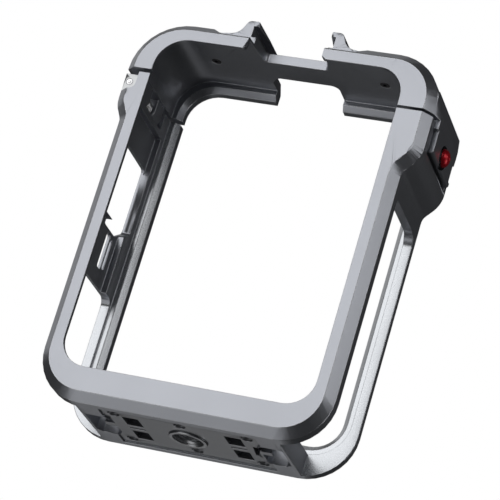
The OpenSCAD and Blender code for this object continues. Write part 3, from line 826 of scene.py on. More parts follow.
class Grower(Graph):
    """A Geometry Nodes tree with named inputs for its sizes."""

    title = "grown"

    def __init__(self) -> None:
        """Builds the tree."""
        super().__init__(bpy.data.node_groups.new(self.title, "GeometryNodeTree"))
        self.tree.is_modifier = True
        self.tree.interface.new_socket("Geometry", in_out="OUTPUT", socket_type="NodeSocketGeometry")
        self.entry = self.tree.nodes.new("NodeGroupInput")
        self.names: dict[str, str] = {}
        finish = self.given("Finish", "NodeSocketMaterial")
        solid = self.node("GeometryNodeRealizeInstances", None, {0: self.form()})
        dressed = self.node("GeometryNodeSetMaterial", None, {"Geometry": solid, "Material": finish})
        self.node("NodeGroupOutput", None, {0: dressed})

    def given(self, name: str, kind: str = "NodeSocketFloat", value: Any = None) -> Expr:
        """Adds a named input.

        Args:
            name: Its name.
            kind: Its socket type.
            value: Its default.

        Returns:
            The input, to be used in the tree.
        """
        socket = self.tree.interface.new_socket(name, in_out="INPUT", socket_type=kind)
        if value is not None:
            socket.default_value = value
        self.names[name] = socket.identifier
        return Expr(self, next(s for s in self.entry.outputs if s.identifier == socket.identifier))

    def length(self, name: str, value: float) -> Expr:
        """Adds a named size, with its default in mm, and returns it in metres."""
        return self.given(name, "NodeSocketFloat", value) * MM

    def together(self, *solids: Expr) -> Expr:
        """Returns several geometries as one."""
        joined = self.node("GeometryNodeJoinGeometry", None, {0: solids[0]})
        for solid in solids[1:]:
            self.tree.links.new(solid.socket, joined.socket.node.inputs[0])
        return joined

    def bar(self, path: Expr, radius: Expr, sides: int) -> Expr:
        """Returns a round bar along a curve, closed at both ends."""
        ring = self.node(
            "GeometryNodeCurvePrimitiveCircle", {"mode": "RADIUS"}, {"Resolution": sides, "Radius": radius}
        )
        inputs = {"Curve": path, "Profile Curve": ring, "Fill Caps": True}
        return self.node("GeometryNodeCurveToMesh", None, inputs)

    def helix(self, count: int) -> tuple[Expr, Expr]:
        """Adds a line of count points that is to be wound up.

        Args:
            count: Its number of points.

        Returns:
            The line, and how far along it each point is, from 0 to 1.
        """
        ends = {"Start": (0.0, 0.0, 0.0), "End": (0.0, 0.0, 1.0)}
        line = self.node("GeometryNodeCurvePrimitiveLine", {"mode": "POINTS"}, ends)
        wound = self.node("GeometryNodeResampleCurve", {"mode": "COUNT"}, {"Curve": line, "Count": count})
        return wound, self.node("GeometryNodeSplineParameter", None, None, "Factor")

    def placed(self, solid: Expr) -> Expr:
        """Turns and moves a geometry by two more named inputs."""
        place = self.given("Place", "NodeSocketVector", (0.0, 0.0, 0.0))
        turn = self.given("Turn", "NodeSocketRotation")
        inputs = {"Geometry": solid, "Translation": place, "Rotation": turn}
        return self.node("GeometryNodeTransform", None, inputs)

    def form(self) -> Expr:
        """Returns the geometry of the tree, before its instances are made real."""
        raise NotImplementedError

    def grow(
        self,
        name: str,
        values: dict[str, Any],
        finish: Finish,
        limit: float = 35.0,
    ) -> bpy.types.Object:
        """Makes a piece from the tree.

        Args:
            name: The name of the piece.
            values: A value for each named input.
            finish: Its finish.
            limit: Edges sharper than this stay sharp, in degrees.

        Returns:
            The piece, as a plain mesh.
        """
        made = add_object(name, bpy.data.meshes.new(name))
        modifier = made.modifiers.new(self.title, "NODES")
        modifier.node_group = self.tree
        modifier[self.names["Finish"]] = finish.material()
        for key, value in values.items():
            modifier[self.names[key]] = value
        bake(made)
        smooth(made.data, limit)
        log.info("%s: %d faces", name, len(made.data.polygons))
        return made


class CoilSpring(Grower):
    """A wire wound round +Z, with its last turns lying flat."""

    title = "coil spring"

    def form(self) -> Expr:
        """Winds the wire along a helix whose pitch closes up at both ends."""
        mean = self.length("Mean radius", 1.4)
        wire = self.length("Wire radius", 0.3)
        height = self.length("Height", 4.0)
        turns = self.given("Turns", "NodeSocketFloat", 6.0)
        dead = self.given("Flat turns", "NodeSocketFloat", 0.8)
        line, along = self.helix(320)
        angle = along * turns * (2 * math.pi)
        closed = wire * 2.0 * along * turns
        low = closed.least(dead * wire * 2.0)
        high = (closed - wire * 2.0 * (turns - dead)).most(0.0)
        open_part = ((along * turns - dead) / (turns - dead * 2.0)).clamped()
        free = height - wire * 2.0 - dead * wire * 4.0
        place = self.join(mean * angle.cos(), mean * angle.sin(), wire + low + open_part * free + high)
        moved = self.node("GeometryNodeSetPosition", None, {"Geometry": line, "Position": place})
        return self.placed(self.bar(moved, wire, 12))


class FastenerSet(Grower):
    """Screws in rows: each has a bevelled head with a recess, a countersink and a shank."""

    title = "fastener set"

    def form(self) -> Expr:
        """Builds one screw that faces +Z with its head at 0, and puts it on two crossed rows."""
        head = self.length("Head radius", 1.2)
        tall = self.length("Head height", 0.9)
        under = self.length("Under head radius", 1.2)
        chamfer = self.length("Chamfer", 0.12)
        socket = self.length("Recess radius", 0.6)
        deep = self.length("Recess depth", 0.5)
        shank = self.length("Shank radius", 0.78)
        long = self.length("Shank length", 1.5)
        lobes = self.given("Recess lobes", "NodeSocketFloat", 6.0)
        star = self.given("Recess star", "NodeSocketFloat", 0.0)
        disc = self.node("GeometryNodeMeshCircle", {"fill_type": "NGON"}, {"Vertices": 48, "Radius": under})
        low = self.moved(disc, -tall)
        wall, top = self.pull(low, None, tall - chamfer, head / under)
        rim, top = self.pull(wall, top, chamfer, (head - chamfer) / head)
        flat, top = self.pull(rim, top, 0.0, socket / (head - chamfer))
        inputs = {"Geometry": flat, "Selection": top, "Position": self.recess(socket, lobes, star)}
        shaped = self.node("GeometryNodeSetPosition", None, inputs)
        cut, _ = self.pull(shaped, top, -deep, 0.96)
        closed = self.together(cut, self.node("GeometryNodeFlipFaces", None, {0: low}))
        whole = self.node("GeometryNodeMergeByDistance", None, {"Geometry": closed, "Distance": SAME})
        inputs = {"Vertices": 24, "Radius": shank, "Depth": long}
        stem = self.node("GeometryNodeMeshCylinder", {"fill_type": "NGON"}, inputs, "Mesh")
        return self.rows(self.together(whole, self.moved(stem, -(tall + long * 0.5 - 0.05 * MM))))

    def moved(self, solid: Expr, by: Expr) -> Expr:
        """Returns a geometry that is moved along Z."""
        inputs = {"Geometry": solid, "Translation": self.join(0.0, 0.0, by)}
        return self.node("GeometryNodeTransform", None, inputs)

    def pull(self, solid: Expr, chosen: Expr | None, by: Any, scale: Any) -> tuple[Expr, Expr]:
        """Extrudes faces and scales the new ends.

        Args:
            solid: The mesh.
            chosen: Which faces, or None for all.
            by: How far, in metres.
            scale: The scale of the new ends.

        Returns:
            The mesh, and the choice of the new ends.
        """
        inputs: dict[str, Any] = {"Mesh": solid, "Offset Scale": by, "Individual": False}
        if chosen is not None:
            inputs["Selection"] = chosen
        drawn = self.node("GeometryNodeExtrudeMesh", {"mode": "FACES"}, inputs)
        ends = drawn.also("Top")
        inputs = {"Geometry": drawn, "Selection": ends, "Scale": scale}
        return self.node("GeometryNodeScaleElements", {"domain": "FACE"}, inputs), ends

    def recess(self, radius: Expr, lobes: Expr, star: Expr) -> Expr:
        """Returns where a point of the recess' rim goes: on a polygon or on a star with round lobes."""
        x, y, z = self.parts(self.node("GeometryNodeInputPosition"))
        angle = y.angle_of(x)
        sector = 2 * math.pi / lobes
        turned = angle % sector - sector * 0.5
        polygon = radius * (sector * 0.5).cos() / turned.cos()
        lobed = radius * ((angle * lobes).cos() * 0.13 + 0.87)
        size = polygon * (1 - star) + lobed * star
        return self.join(angle.cos() * size, angle.sin() * size, z)

    def rows(self, screw: Expr) -> Expr:
        """Puts one screw on each point of two crossed rows, each turned a little its own way."""
        first = self.given("First place", "NodeSocketVector", (0.0, 0.0, 0.0))
        step_a = self.given("Row step", "NodeSocketVector", (1.0, 0.0, 0.0))
        count_a = self.given("Row count", "NodeSocketInt", 2)
        step_b = self.given("Column step", "NodeSocketVector", (0.0, 1.0, 0.0))
        count_b = self.given("Column count", "NodeSocketInt", 1)
        turn = self.given("Turn", "NodeSocketRotation")
        inputs = {"Count": count_a, "Start Location": first, "Offset": step_a}
        row = self.node("GeometryNodeMeshLine", {"mode": "OFFSET"}, inputs)
        column = self.node("GeometryNodeMeshLine", {"mode": "OFFSET"}, {"Count": count_b, "Offset": step_b})
        grid = self.node("GeometryNodeInstanceOnPoints", None, {"Points": row, "Instance": column})
        points = self.node("GeometryNodeRealizeInstances", None, {0: grid})
        inputs = {"Min": 0.0, "Max": math.pi, "Seed": 7}
        spin = self.node("FunctionNodeRandomValue", {"data_type": "FLOAT"}, inputs, 1)
        own = self.node("FunctionNodeAxisAngleToRotation", None, {"Axis": (0.0, 0.0, 1.0), "Angle": spin})
        facing = self.node("FunctionNodeRotateRotation", {"rotation_space": "LOCAL"}, {0: turn, 1: own})
        inputs = {"Points": points, "Instance": screw, "Rotation": facing}
        return self.node("GeometryNodeInstanceOnPoints", None, inputs)


class InsideThread(Grower):
    """The ridge of a thread that runs up inside a bore."""

    title = "inside thread"

    def form(self) -> Expr:
        """Sweeps a blunt ridge along a helix on the wall of the bore."""
        bore = self.length("Bore radius", 3.175)
        pitch = self.length("Pitch", 1.27)
        height = self.length("Height", 5.0)
        tooth = self.length("Tooth", 0.6)
        line, along = self.helix(256)
        turns = (height - pitch * 0.9) / pitch
        angle = along * turns * (2 * math.pi)
        runout = (along * 14.0).clamped() * ((1 - along) * 14.0).clamped()
        mid = bore - tooth * (runout * 0.5 - 0.03)
        place = self.join(mid * angle.cos(), mid * angle.sin(), pitch * 0.45 + along * turns * pitch)
        moved = self.node("GeometryNodeSetPosition", None, {"Geometry": line, "Position": place})
        upright = self.node("GeometryNodeSetCurveNormal", {"mode": "Z_UP"}, {"Curve": moved})
        widths = {"Bottom Width": pitch * 0.86, "Top Width": pitch * 0.2, "Height": tooth, "Offset": 0.0}
        ridge = self.node("GeometryNodeCurvePrimitiveQuadrilateral", {"mode": "TRAPEZOID"}, widths)
        inputs = {"Geometry": ridge, "Rotation": (0.0, 0.0, math.pi / 2)}
        ridge = self.node("GeometryNodeTransform", None, inputs)
        inputs = {"Curve": upright, "Profile Curve": ridge, "Fill Caps": True}
        return self.placed(self.node("GeometryNodeCurveToMesh", None, inputs))


class RibbedPad(Grower):
    """A soft pad with round corners and a row of ribs on its face, which looks along +Z."""

    title = "ribbed pad"

    def form(self) -> Expr:
        """Extrudes a rounded base and lays round ribs on it."""
        length = self.length("Length", 10.0)
        width = self.length("Width", 3.2)
        depth = self.length("Depth", 0.8)
        rib = self.length("Rib radius", 0.16)
        pitch = self.length("Rib pitch", 0.6)
        inputs = {"Width": length, "Height": width}
        outline = self.node("GeometryNodeCurvePrimitiveQuadrilateral", {"mode": "RECTANGLE"}, inputs)
        inputs = {"Curve": outline, "Count": 6, "Radius": width * 0.16}
        rounded = self.node("GeometryNodeFilletCurve", {"mode": "POLY"}, inputs)
        face = self.node("GeometryNodeFillCurve", {"mode": "NGONS"}, {"Curve": rounded})
        inputs = {"Mesh": face, "Offset Scale": depth - rib * 0.9, "Individual": False}
        drawn = self.node("GeometryNodeExtrudeMesh", {"mode": "FACES"}, inputs)
        both = self.together(drawn, self.node("GeometryNodeFlipFaces", None, {0: face}))
        base = self.node("GeometryNodeMergeByDistance", None, {"Geometry": both, "Distance": SAME})
        run = width * 0.5 - rib * 1.6
        ends = {"Start": self.join(0.0, -run, 0.0), "End": self.join(0.0, run, 0.0)}
        line = self.node("GeometryNodeCurvePrimitiveLine", {"mode": "POINTS"}, ends)
        count = ((length - width * 0.5) / pitch).whole() + 1.0
        start = self.join((count - 1.0) * pitch * -0.5, 0.0, depth - rib * 1.001)
        inputs = {"Count": count, "Start Location": start, "Offset": self.join(pitch, 0.0, 0.0)}
        row = self.node("GeometryNodeMeshLine", {"mode": "OFFSET"}, inputs)
        inputs = {"Points": row, "Instance": self.bar(line, rib, 14)}
        ribs = self.node("GeometryNodeInstanceOnPoints", None, inputs)
        return self.placed(self.together(base, ribs))


# ---------- sub-assemblies ----------


@dataclass
class SubAssembly:
    """A group of pieces that is made and dressed together."""

    pieces: list[bpy.types.Object] = field(default_factory=list)

    def keep(self, made: bpy.types.Object, body: str, slot: str, *nodes: str) -> bpy.types.Object:
        """Puts a piece on its body.

        Args:
            made: The piece.
            body: The CAD body that it rides on.
            slot: The material slot of the record that it stands for. It is not used.
            nodes: The CAD nodes that it replaces.

        Returns:
            The piece.
        """
        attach(made, body)
        if nodes:
            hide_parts(*nodes)
        self.pieces.append(made)
        log.info("%s rides on %s", made.name, body)
        return made

    @staticmethod
    def dress(made: bpy.types.Object, finish: Finish) -> bpy.types.Object:
        """Gives every face of a piece one finish."""
        made.data.materials.clear()
        made.data.materials.append(finish.material())
        return made

    def build(self) -> None:
        """Makes and dresses the pieces."""
        raise NotImplementedError


@dataclass
class FrameCopy(WeldedCopy):
    """The copy of the frame, with wider flats round the pin than the CAD node has.

    Attributes:
        pin: The middle of the pin, in mm.
        plane: How far the flats lie from the middle plane, in mm.
        was: How far the CAD flats reach from the pin's axis, in mm.
        corner: The radius of their corner, in mm.
        reach: How far the wider flats reach, in mm.
        brow: Points of the corner nearer to the pin than this lie on its lower wall, in mm.
        rail_y: The rear rails lie behind this, in mm. Their inner side gets a lighter colour, a painted
            highlight.
        near: Points closer than this to a wall lie on it, in mm.
        skin: Points this far in front of the plane still lie on it, in mm.
        edge_skin: The same for the middles of edges, in mm.
        around: Edges within this share of the reach stay crisp.
    """

    pin: Point = (0.0, 0.0, 0.0)
    plane: float = 11.6
    was: float = 1.7
    corner: float = 1.5
    reach: float = 2.45
    brow: float = 0.8
    rail_y: float = 9.5
    near: float = 0.02
    skin: float = 0.01
    edge_skin: float = 0.05
    around: float = 1.5

    def reshape(self, shape: bmesh.types.BMesh) -> None:
        """Moves the walls of the pockets out to the full reach of the flats."""
        near = self.near
        turn = self.was - self.corner
        brow = math.atan2(-math.sqrt(self.corner**2 - (self.brow - turn) ** 2), self.brow - turn)
        middle_of = self.reach - self.corner
        for vert in shape.verts:
            x, y, z = vert.co / MM
            dx, dz = x - self.pin[0], z - self.pin[2]
            arc = abs(math.hypot(dx - turn, dz + turn) - self.corner) < near
            lower_wall = abs(dz + self.was) < near and dx < turn + near
            if abs(y) < self.plane - self.skin:
                continue
            if abs(dx - self.was) < near and dz > -turn + near:
                dx = self.reach
            elif arc and dx > self.brow + near and dz < -turn + near:
                angle = math.atan2(dz + turn, dx - turn) / brow * -math.pi / 2
                dx, dz = middle_of + self.corner * math.cos(angle), self.corner * math.sin(angle) - middle_of
            elif lower_wall or (arc and dx > turn - near and dz < -turn):
                dz = -self.reach
            vert.co = Vector((self.pin[0] + dx, y, self.pin[2] + dz)) * MM
        shape.normal_update()

    def room(self, edge: bmesh.types.BMEdge) -> float:
        """Keeps the edges of the flats crisp, as the holes in them leave no room."""
        place = (edge.verts[0].co + edge.verts[1].co) / (2 * MM)
        near = math.hypot(place.x - self.pin[0], place.z - self.pin[2]) < self.reach * self.around
        if near and abs(place.y) > self.plane - self.edge_skin:
            return 0.0
        return super().room(edge)

    def finish_of(self, place: Vector, normal: Vector) -> int:
        """Gives the inner side of the rear rails a lighter colour, a painted highlight."""
        return int(place.y > self.rail_y and normal.y < -0.5)


@dataclass
class Shell(SubAssembly):
    """The machined frame and the top bar that are cut from one ring."""

    edge: float = 0.12
    colour: Colour = (0.47, 0.485, 0.525)
    # Lighter colour on the broken edges: a painted highlight, with some edge wear
    edge_wear_and_highlight: Colour = (0.66, 0.675, 0.71)
    # Lighter colour for the inner side of the rear rails: a painted highlight
    rail: Colour = (0.68, 0.70, 0.73)
    roughness: float = 0.33

    def build(self) -> None:
        """Makes both halves of the ring."""
        pin = middle("hinge_pin")
        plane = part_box("hinge_pin")[1].y / MM
        frame = FrameCopy("cage_frame", "frame_shell", self.edge, pin=pin, plane=plane)
        faced = {"centre": pin, "reach": frame.reach, "plane": plane}
        face = Spotfaced("anodised_shell", self.colour, self.roughness, 0.86, **faced)
        # The rear rails' inner side gets a lighter colour, a painted highlight
        rail = Blasted("anodised_rail", self.rail, self.roughness - 0.05, 0.9)
        # The broken edges get the lighter colour: a painted highlight, with some edge wear
        rim = Spotfaced("anodised_edge", self.edge_wear_and_highlight, self.roughness - 0.04, 0.86, **faced)
        self.keep(frame.build((face, rail, rim)), "frame", "anodised_shell", "cage_frame")
        bar = WeldedCopy("top_bar", "door_shell", self.edge).build((face, rim))
        self.keep(bar, "door", "anodised_shell", "top_bar")


@dataclass
class Hinge(SubAssembly):
    """The pin, its bushes and the spring round the pin."""

    chamfer: float = 0.14
    dimple: float = 0.28
    dimple_depth: float = 0.16
    bush_chamfer: float = 0.08
    wire: float = 0.3
    turns: float = 6.2

    def build(self) -> None:
        """Makes the pin, the bushes and the spring."""
        low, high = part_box("hinge_pin")
        centre = middle("hinge_pin")
        radius = (high.x - low.x) / 2 / MM
        half = (high.y - low.y) / 2 / MM
        self.pin(centre, radius, half)
        self.bushes(centre, radius)
        self.spring(centre)

    def pin(self, centre: Point, radius: float, half: float) -> None:
        """Turns the pin, with a chamfer and a small dimple at each end."""
        cut = self.chamfer
        dish = [(0.0, half - self.dimple_depth), (self.dimple, half)]
        end = dish + [(radius - cut, half), (radius, half - cut)]
        profile = end + [(r, -h) for r, h in reversed(end)]
        made = lathe("hinge_pin_turned", profile, centre, Axis.BACK)
        self.dress(made, Turned("polished_pin", (0.93, 0.93, 0.94), 0.24, 1.0, centre=centre, axis=1))
        self.keep(made, "frame", "polished_steel", "hinge_pin")

    def bushes(self, centre: Point, bore: float) -> None:
        """Turns the two dark bushes round the ends of the pin."""
        low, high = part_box("hinge_bushes")
        outer = (high.x - low.x) / 2 / MM
        node = bpy.data.objects["hinge_bushes"]
        inner = min(abs(v.co.y) for v in node.data.vertices) / MM
        reach = high.y / MM
        cut = self.bush_chamfer
        made = []
        for side in (-1, 1):
            near, far = sorted((side * inner, side * reach))
            loop = [
                (bore, near + cut), (bore + cut, near), (outer - cut, near), (outer, near + cut),
                (outer, far - cut), (outer - cut, far), (bore + cut, far), (bore, far - cut),
            ]
            made.append(lathe(f"bush_{len(made)}", loop, (centre[0], 0.0, centre[2]), Axis.BACK))
        whole = merge(made, "hinge_bushes_turned")
        self.dress(whole, Turned("blackened_bush", (0.035, 0.035, 0.04), 0.35, 1.0, centre=centre, axis=1))
        self.keep(whole, "frame", "dark_steel", "hinge_bushes")

    def spring(self, centre: Point) -> None:
        """Winds the torsion spring round the pin."""
        low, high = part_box("hinge_spring")
        outer = (high.x - low.x) / 2 / MM
        values = {
            "Mean radius": outer - self.wire,
            "Wire radius": self.wire,
            "Height": (high.y - low.y) / MM,
            "Turns": self.turns,
            "Place": (centre[0] * MM, low.y, centre[2] * MM),
            "Turn": Axis.BACK.turn().to_euler(),
        }
        wire = Finish("spring_wire", (0.72, 0.72, 0.73), 0.22)
        made = CoilSpring().grow("hinge_spring_wound", values, wire)
        self.keep(made, "frame", "spring_steel", "hinge_spring")


def merge(pieces: Iterable[bpy.types.Object], name: str) -> bpy.types.Object:
    """Joins pieces that sit at the origin into one.

    Args:
        pieces: The pieces, which are removed.
        name: The name of the new piece.

    Returns:
        The new piece.
    """
    shape = bmesh.new()
    for piece in pieces:
        shape.from_mesh(piece.data)
        bpy.data.objects.remove(piece)
    mesh = bpy.data.meshes.new(name)
    shape.to_mesh(mesh)
    shape.free()
    smooth(mesh)
    return add_object(name, mesh)


@dataclass
class Latch(SubAssembly):
    """The release button, its bezel and spring, the latch plate, its cover and the keeper."""

    red: Colour = (0.85, 0.012, 0.03)
    dome: float = 1.4
    dome_step: float = 8.0
    stem_radius: float = 0.9
    button_inset: float = 0.6
    bezel_wall: float = 0.56
    plate_shortest: float = 0.1
    wire: float = 0.12
    turns: float = 3.6
    travel: float = 0.8
    screw_head: float = 0.9

    def build(self) -> None:
        """Makes the button and dresses the latch."""
        self.button()
        self.bezel()
        self.spring()
        steel = Brushed("latch_steel", (0.70, 0.71, 0.73), 0.3, along=1)
        dark = Brushed("dark_steel", (0.055, 0.055, 0.06), 0.42, along=1)
        plates = (
            ("latch_plate", "latch_plate_stamped", 0.06, steel, "button", "latch_steel"),
            ("latch_cover", "latch_cover_cut", 0.05, dark, "door", "dark_steel"),
            ("keeper_plate", "keeper_plate_cut", 0.06, dark, "frame", "dark_steel"),
        )
        for node, name, edge, finish, body, slot in plates:
            made = WeldedCopy(node, name, edge, shortest=self.plate_shortest).build((finish,))
            self.keep(made, body, slot, node)
        self.screws("latch_cover_screws", "door", "dark_steel", Axis.LEFT)
        self.screws("keeper_screws", "frame", "screw_steel", Axis.UP)

    def button(self) -> None:
        """Turns the domed button with a shallow dish in its crown, and adds its stem.

        Its body is as deep as the flange of the CAD button, which is hidden and isn't made.
        """
        bezel_low, bezel_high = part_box("button_bezel")
        centre = middle("button_bezel")
        radius = (bezel_high.z - bezel_low.z) / 2 / MM - self.button_inset
        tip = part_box("release_button")[1].x / MM
        crown = tip - self.dome
        angles = [math.radians(self.dome_step * k) for k in range(9)]
        arc = [(radius * math.cos(a), crown + self.dome * math.sin(a)) for a in angles]
        dents = ((0.62, 0.09), (0.5, 0.02), (0.4, 0.06), (0.22, 0.13), (0.0, 0.15))
        dish = [(out, tip - depth) for out, depth in dents]
        corners = [v.co for v in bpy.data.objects["release_button"].data.vertices]
        stem = min(c.x for c in corners) / MM
        beside = [c for c in corners if abs(c.y) > (radius + 0.5) * MM]
        flange = [c.x / MM for c in beside if abs(c.z - centre[2] * MM) < 2.0 * MM]
        back, front = min(flange), max(flange)
        shank = [(0.0, stem), (self.stem_radius, stem), (self.stem_radius, back)]
        profile = shank + [(radius - 0.05, back), (radius, front)] + arc + dish
        made = lathe("release_button_turned", profile, (0.0, 0.0, centre[2]), Axis.RIGHT, FINE, 50.0)
        self.dress(made, Lacquered("red_button", self.red, roughness=0.36, metallic=0.6, coat=0.5))
        self.keep(made, "button", "red_button", "release_button")

    def bezel(self) -> None:
        """Turns the dark ring round the button."""
        low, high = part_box("button_bezel")
        centre = middle("button_bezel")
        outer = (high.z - low.z) / 2 / MM
        bore = outer - self.bezel_wall
        back, front = low.x / MM, high.x / MM
        loop = [
            (bore, back), (outer, back), (outer, front - 0.12), (outer - 0.12, front),
            (bore + 0.2, front), (bore, front - 0.14),
        ]
        made = lathe("button_bezel_turned", loop, (0.0, 0.0, centre[2]), Axis.RIGHT, FINE)
        self.dress(made, Turned("bezel_steel", (0.03, 0.03, 0.034), 0.3, 1.0, centre=centre, axis=0))
        self.keep(made, "door", "dark_steel", "button_bezel")

    def spring(self) -> None:
        """Winds the small spring behind the latch plate, as short as it is when the button is in."""
        low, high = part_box("button_spring")
        centre = middle("button_spring")
        outer = (high.z - low.z) / 2 / MM
        values = {
            "Mean radius": outer - self.wire,
            "Wire radius": self.wire,
            "Height": (high.x - low.x) / MM - self.travel,
            "Turns": self.turns,
            "Flat turns": 0.6,
            "Place": (low.x, centre[1] * MM, centre[2] * MM),
            "Turn": Axis.RIGHT.turn().to_euler(),
        }
        wire = Finish("small_spring_wire", (0.7, 0.7, 0.71), 0.25)
        made = CoilSpring().grow("button_spring_wound", values, wire)
        self.keep(made, "door", "spring_steel", "button_spring")

    def screws(self, node: str, body: str, slot: str, face: Axis) -> None:
        """Puts two countersunk screws with a star recess where a CAD node has them."""
        low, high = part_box(node)
        side = face.value
        head = self.screw_head
        at = [(l if s < 0 else h) if s else (l + h) / 2 for l, h, s in zip(low, high, side)]
        at[1] = low.y + head * MM
        values = {
            "Head radius": head - 0.02, "Under head radius": 0.47, "Head height": 0.38, "Chamfer": 0.03,
            "Recess radius": 0.42, "Recess depth": 0.25, "Shank radius": 0.44, "Shank length": 1.3,
            "Recess lobes": 6.0, "Recess star": Recess.STAR.value,
            "First place": tuple(at), "Row step": (0.0, high.y - low.y - 2 * head * MM, 0.0), "Row count": 2,
            "Turn": face.turn().to_euler(),
        }
        colour = (0.5, 0.5, 0.52) if slot == "screw_steel" else (0.07, 0.07, 0.075)
        finish = Turned(f"{slot}_screws", colour, 0.32, 1.0)
        made = FastenerSet().grow(f"{node}_driven", values, finish)
        self.keep(made, body, slot, node)


@dataclass
class TripodBase(SubAssembly):
    """The base plate with its screws, and the steel insert with its thread."""

    pitch: float = 1.27
    tooth: float = 0.5
    rim: float = 1.1
    chamfer: float = 0.12
    screw_head: float = 1.2

    def build(self) -> None:
        """Makes the plate, the screws and the insert."""
        grey = Blasted("base_metal", (0.38, 0.39, 0.41), 0.34, 0.9, grain_depth=0.003)
        # The broken edges of the plate get a lighter colour, a painted highlight
        rim = Blasted("base_edge", (0.62, 0.63, 0.66), 0.30, 0.9, grain_depth=0.003)
        plate = WeldedCopy("base_plate", "base_plate_milled", 0.1).build((grey, rim))
        self.keep(plate, "frame", "base_metal", "base_plate")
        self.insert()
        self.screws()

    def insert(self) -> None:
        """Turns the steel insert and sweeps its thread inside."""
        low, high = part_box("tripod_insert")
        outside = (high.x - low.x) / 2 / MM
        top = high.z / MM
        shape = bpy.data.objects["tripod_insert"].data.vertices
        bore = min(math.hypot(v.co.x, v.co.y) for v in shape) / MM
        body = max(math.hypot(v.co.x, v.co.y) for v in shape if v.co.z < SAME) / MM
        flange = top - self.rim
        cut = self.chamfer
        loop = [
            (bore, 0.25), (bore + 0.3, 0.0), (body - 0.15, 0.0), (body, 0.15), (body, flange),
            (outside - cut, flange), (outside, flange + cut), (outside, top - cut),
            (outside - cut, top), (bore + 0.25, top), (bore, top - 0.25),
        ]
        made = lathe("tripod_insert_turned", loop, (0.0, 0.0, 0.0), Axis.UP, FINE)
        steel = Turned("insert_steel", (0.55, 0.56, 0.58), 0.26, 1.0, axis=2, ring=0.16)
        self.dress(made, steel)
        self.keep(made, "frame", "insert_steel", "tripod_insert")
        values = {"Bore radius": bore, "Pitch": self.pitch, "Height": top, "Tooth": self.tooth}
        thread = InsideThread().grow("tripod_thread_cut", values, steel)
        self.keep(thread, "frame", "insert_steel")

    def screws(self) -> None:
        """Puts the six screws in their two rows."""
        low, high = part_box("base_screws")
        head = self.screw_head
        step_x = (high.x - low.x - 2 * head * MM) / 2
        step_y = high.y - low.y - 2 * head * MM
        values = {
            "Head radius": head, "Under head radius": head, "Head height": 0.9, "Chamfer": 0.14,
            "Recess radius": 0.68, "Recess depth": 0.55, "Recess star": Recess.HEX.value,
            "Shank radius": 0.76, "Shank length": (high.z - low.z) / MM - 0.95,
            "First place": (low.x + head * MM, low.y + head * MM, low.z),
            "Row step": (step_x, 0.0, 0.0), "Row count": 3,
            "Column step": (0.0, step_y, 0.0), "Column count": 2, "Turn": Axis.DOWN.turn().to_euler(),
        }
        zinc = Turned("zinc_screws", (0.60, 0.60, 0.62), 0.28, 1.0)
        made = FastenerSet().grow("base_screws_driven", values, zinc)
        self.keep(made, "frame", "screw_steel", "base_screws")


@dataclass
class Lining(SubAssembly):
    """The silicone pads that touch the camera, and the screws in the ceiling."""

    colour: Colour = (0.028, 0.028, 0.031)
    rib: float = 0.14
    rib_pitch: float = 0.62
    screw_head: float = 1.15

    def build(self) -> None:
        """Makes the pads and the screws."""
        self.pads("ceiling_pads", "door", Axis.DOWN)
        self.pads("floor_pad", "frame", Axis.UP)
        self.pads("side_pad", "frame", Axis.LEFT)
        self.ceiling_screws()

    def pads(self, node: str, body: str, face: Axis) -> None:
        """Makes a ribbed pad in the place of each solid of a CAD node."""
        rubber = Moulded("pad_rubber", self.colour, 0.62, 0.0)
        made = []
        for low, high in islands(bpy.data.objects[node]):
            size = [(h - l) / MM for l, h in zip(low, high)]
            mid = [(l + h) / 2 for l, h in zip(low, high)]
            normal = [abs(v) > 0.5 for v in face.value].index(True)
            flat = [i for i in range(3) if i != normal]
            long_axis = max(flat, key=lambda i: size[i])
            wide_axis = next(i for i in flat if i != long_axis)
            mid[normal] = low[normal] if face.value[normal] > 0 else high[normal]
            z = Vector(face.value)
            x = Vector([float(i == long_axis) for i in range(3)])
            y = z.cross(x)
            turn = Matrix((x, y, z)).transposed().to_euler()
            values = {
                "Length": size[long_axis], "Width": size[wide_axis], "Depth": size[normal],
                "Rib radius": self.rib, "Rib pitch": self.rib_pitch, "Place": tuple(mid), "Turn": turn,
            }
            made.append(RibbedPad().grow(f"{node}_{len(made)}", values, rubber))
        whole = merge(made, f"{node}_moulded") if len(made) > 1 else made[0]
        whole.name = f"{node}_moulded"
        self.dress(whole, rubber)
        self.keep(whole, body, "pad_rubber", node)

    def ceiling_screws(self) -> None:
        """Puts the two countersunk screws under the top bar."""
        low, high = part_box("ceiling_screws")
        head = self.screw_head
        values = {
            "Head radius": head - 0.02, "Under head radius": 0.57, "Head height": 0.56, "Chamfer": 0.03,
            "Recess radius": 0.55, "Recess depth": 0.4, "Shank radius": 0.55, "Shank length": 1.0,
            "Recess star": Recess.STAR.value,
            "First place": (low.x + head * MM, (low.y + high.y) / 2, low.z),
            "Row step": (high.x - low.x - 2 * head * MM, 0.0, 0.0), "Row count": 2,
            "Turn": Axis.DOWN.turn().to_euler(),
        }
        dark = Turned("ceiling_screw_steel", (0.16, 0.16, 0.17), 0.3, 1.0)
        made = FastenerSet().grow("ceiling_screws_driven", values, dark)
        self.keep(made, "door", "dark_steel", "ceiling_screws")


def islands(node: bpy.types.Object) -> list[tuple[Vector, Vector]]:
    """Returns the box of each separate solid of a CAD node, in metres."""
    shape = bmesh.new()
    shape.from_mesh(node.data)
    bmesh.ops.remove_doubles(shape, verts=shape.verts, dist=SAME)
    left = set(shape.verts)
    boxes = []
    while left:
        todo = [left.pop()]
        seen = []
        while todo:
            vert = todo.pop()
            seen.append(vert.co.copy())
            for edge in vert.link_edges:
                other = edge.other_vert(vert)
                if other in left:
                    left.remove(other)
                    todo.append(other)
        boxes.append((Vector(map(min, *seen)), Vector(map(max, *seen))))
    shape.free()
    return sorted(boxes, key=lambda pair: tuple(round(v, 6) for v in pair[0]))


# ---------- studio ----------


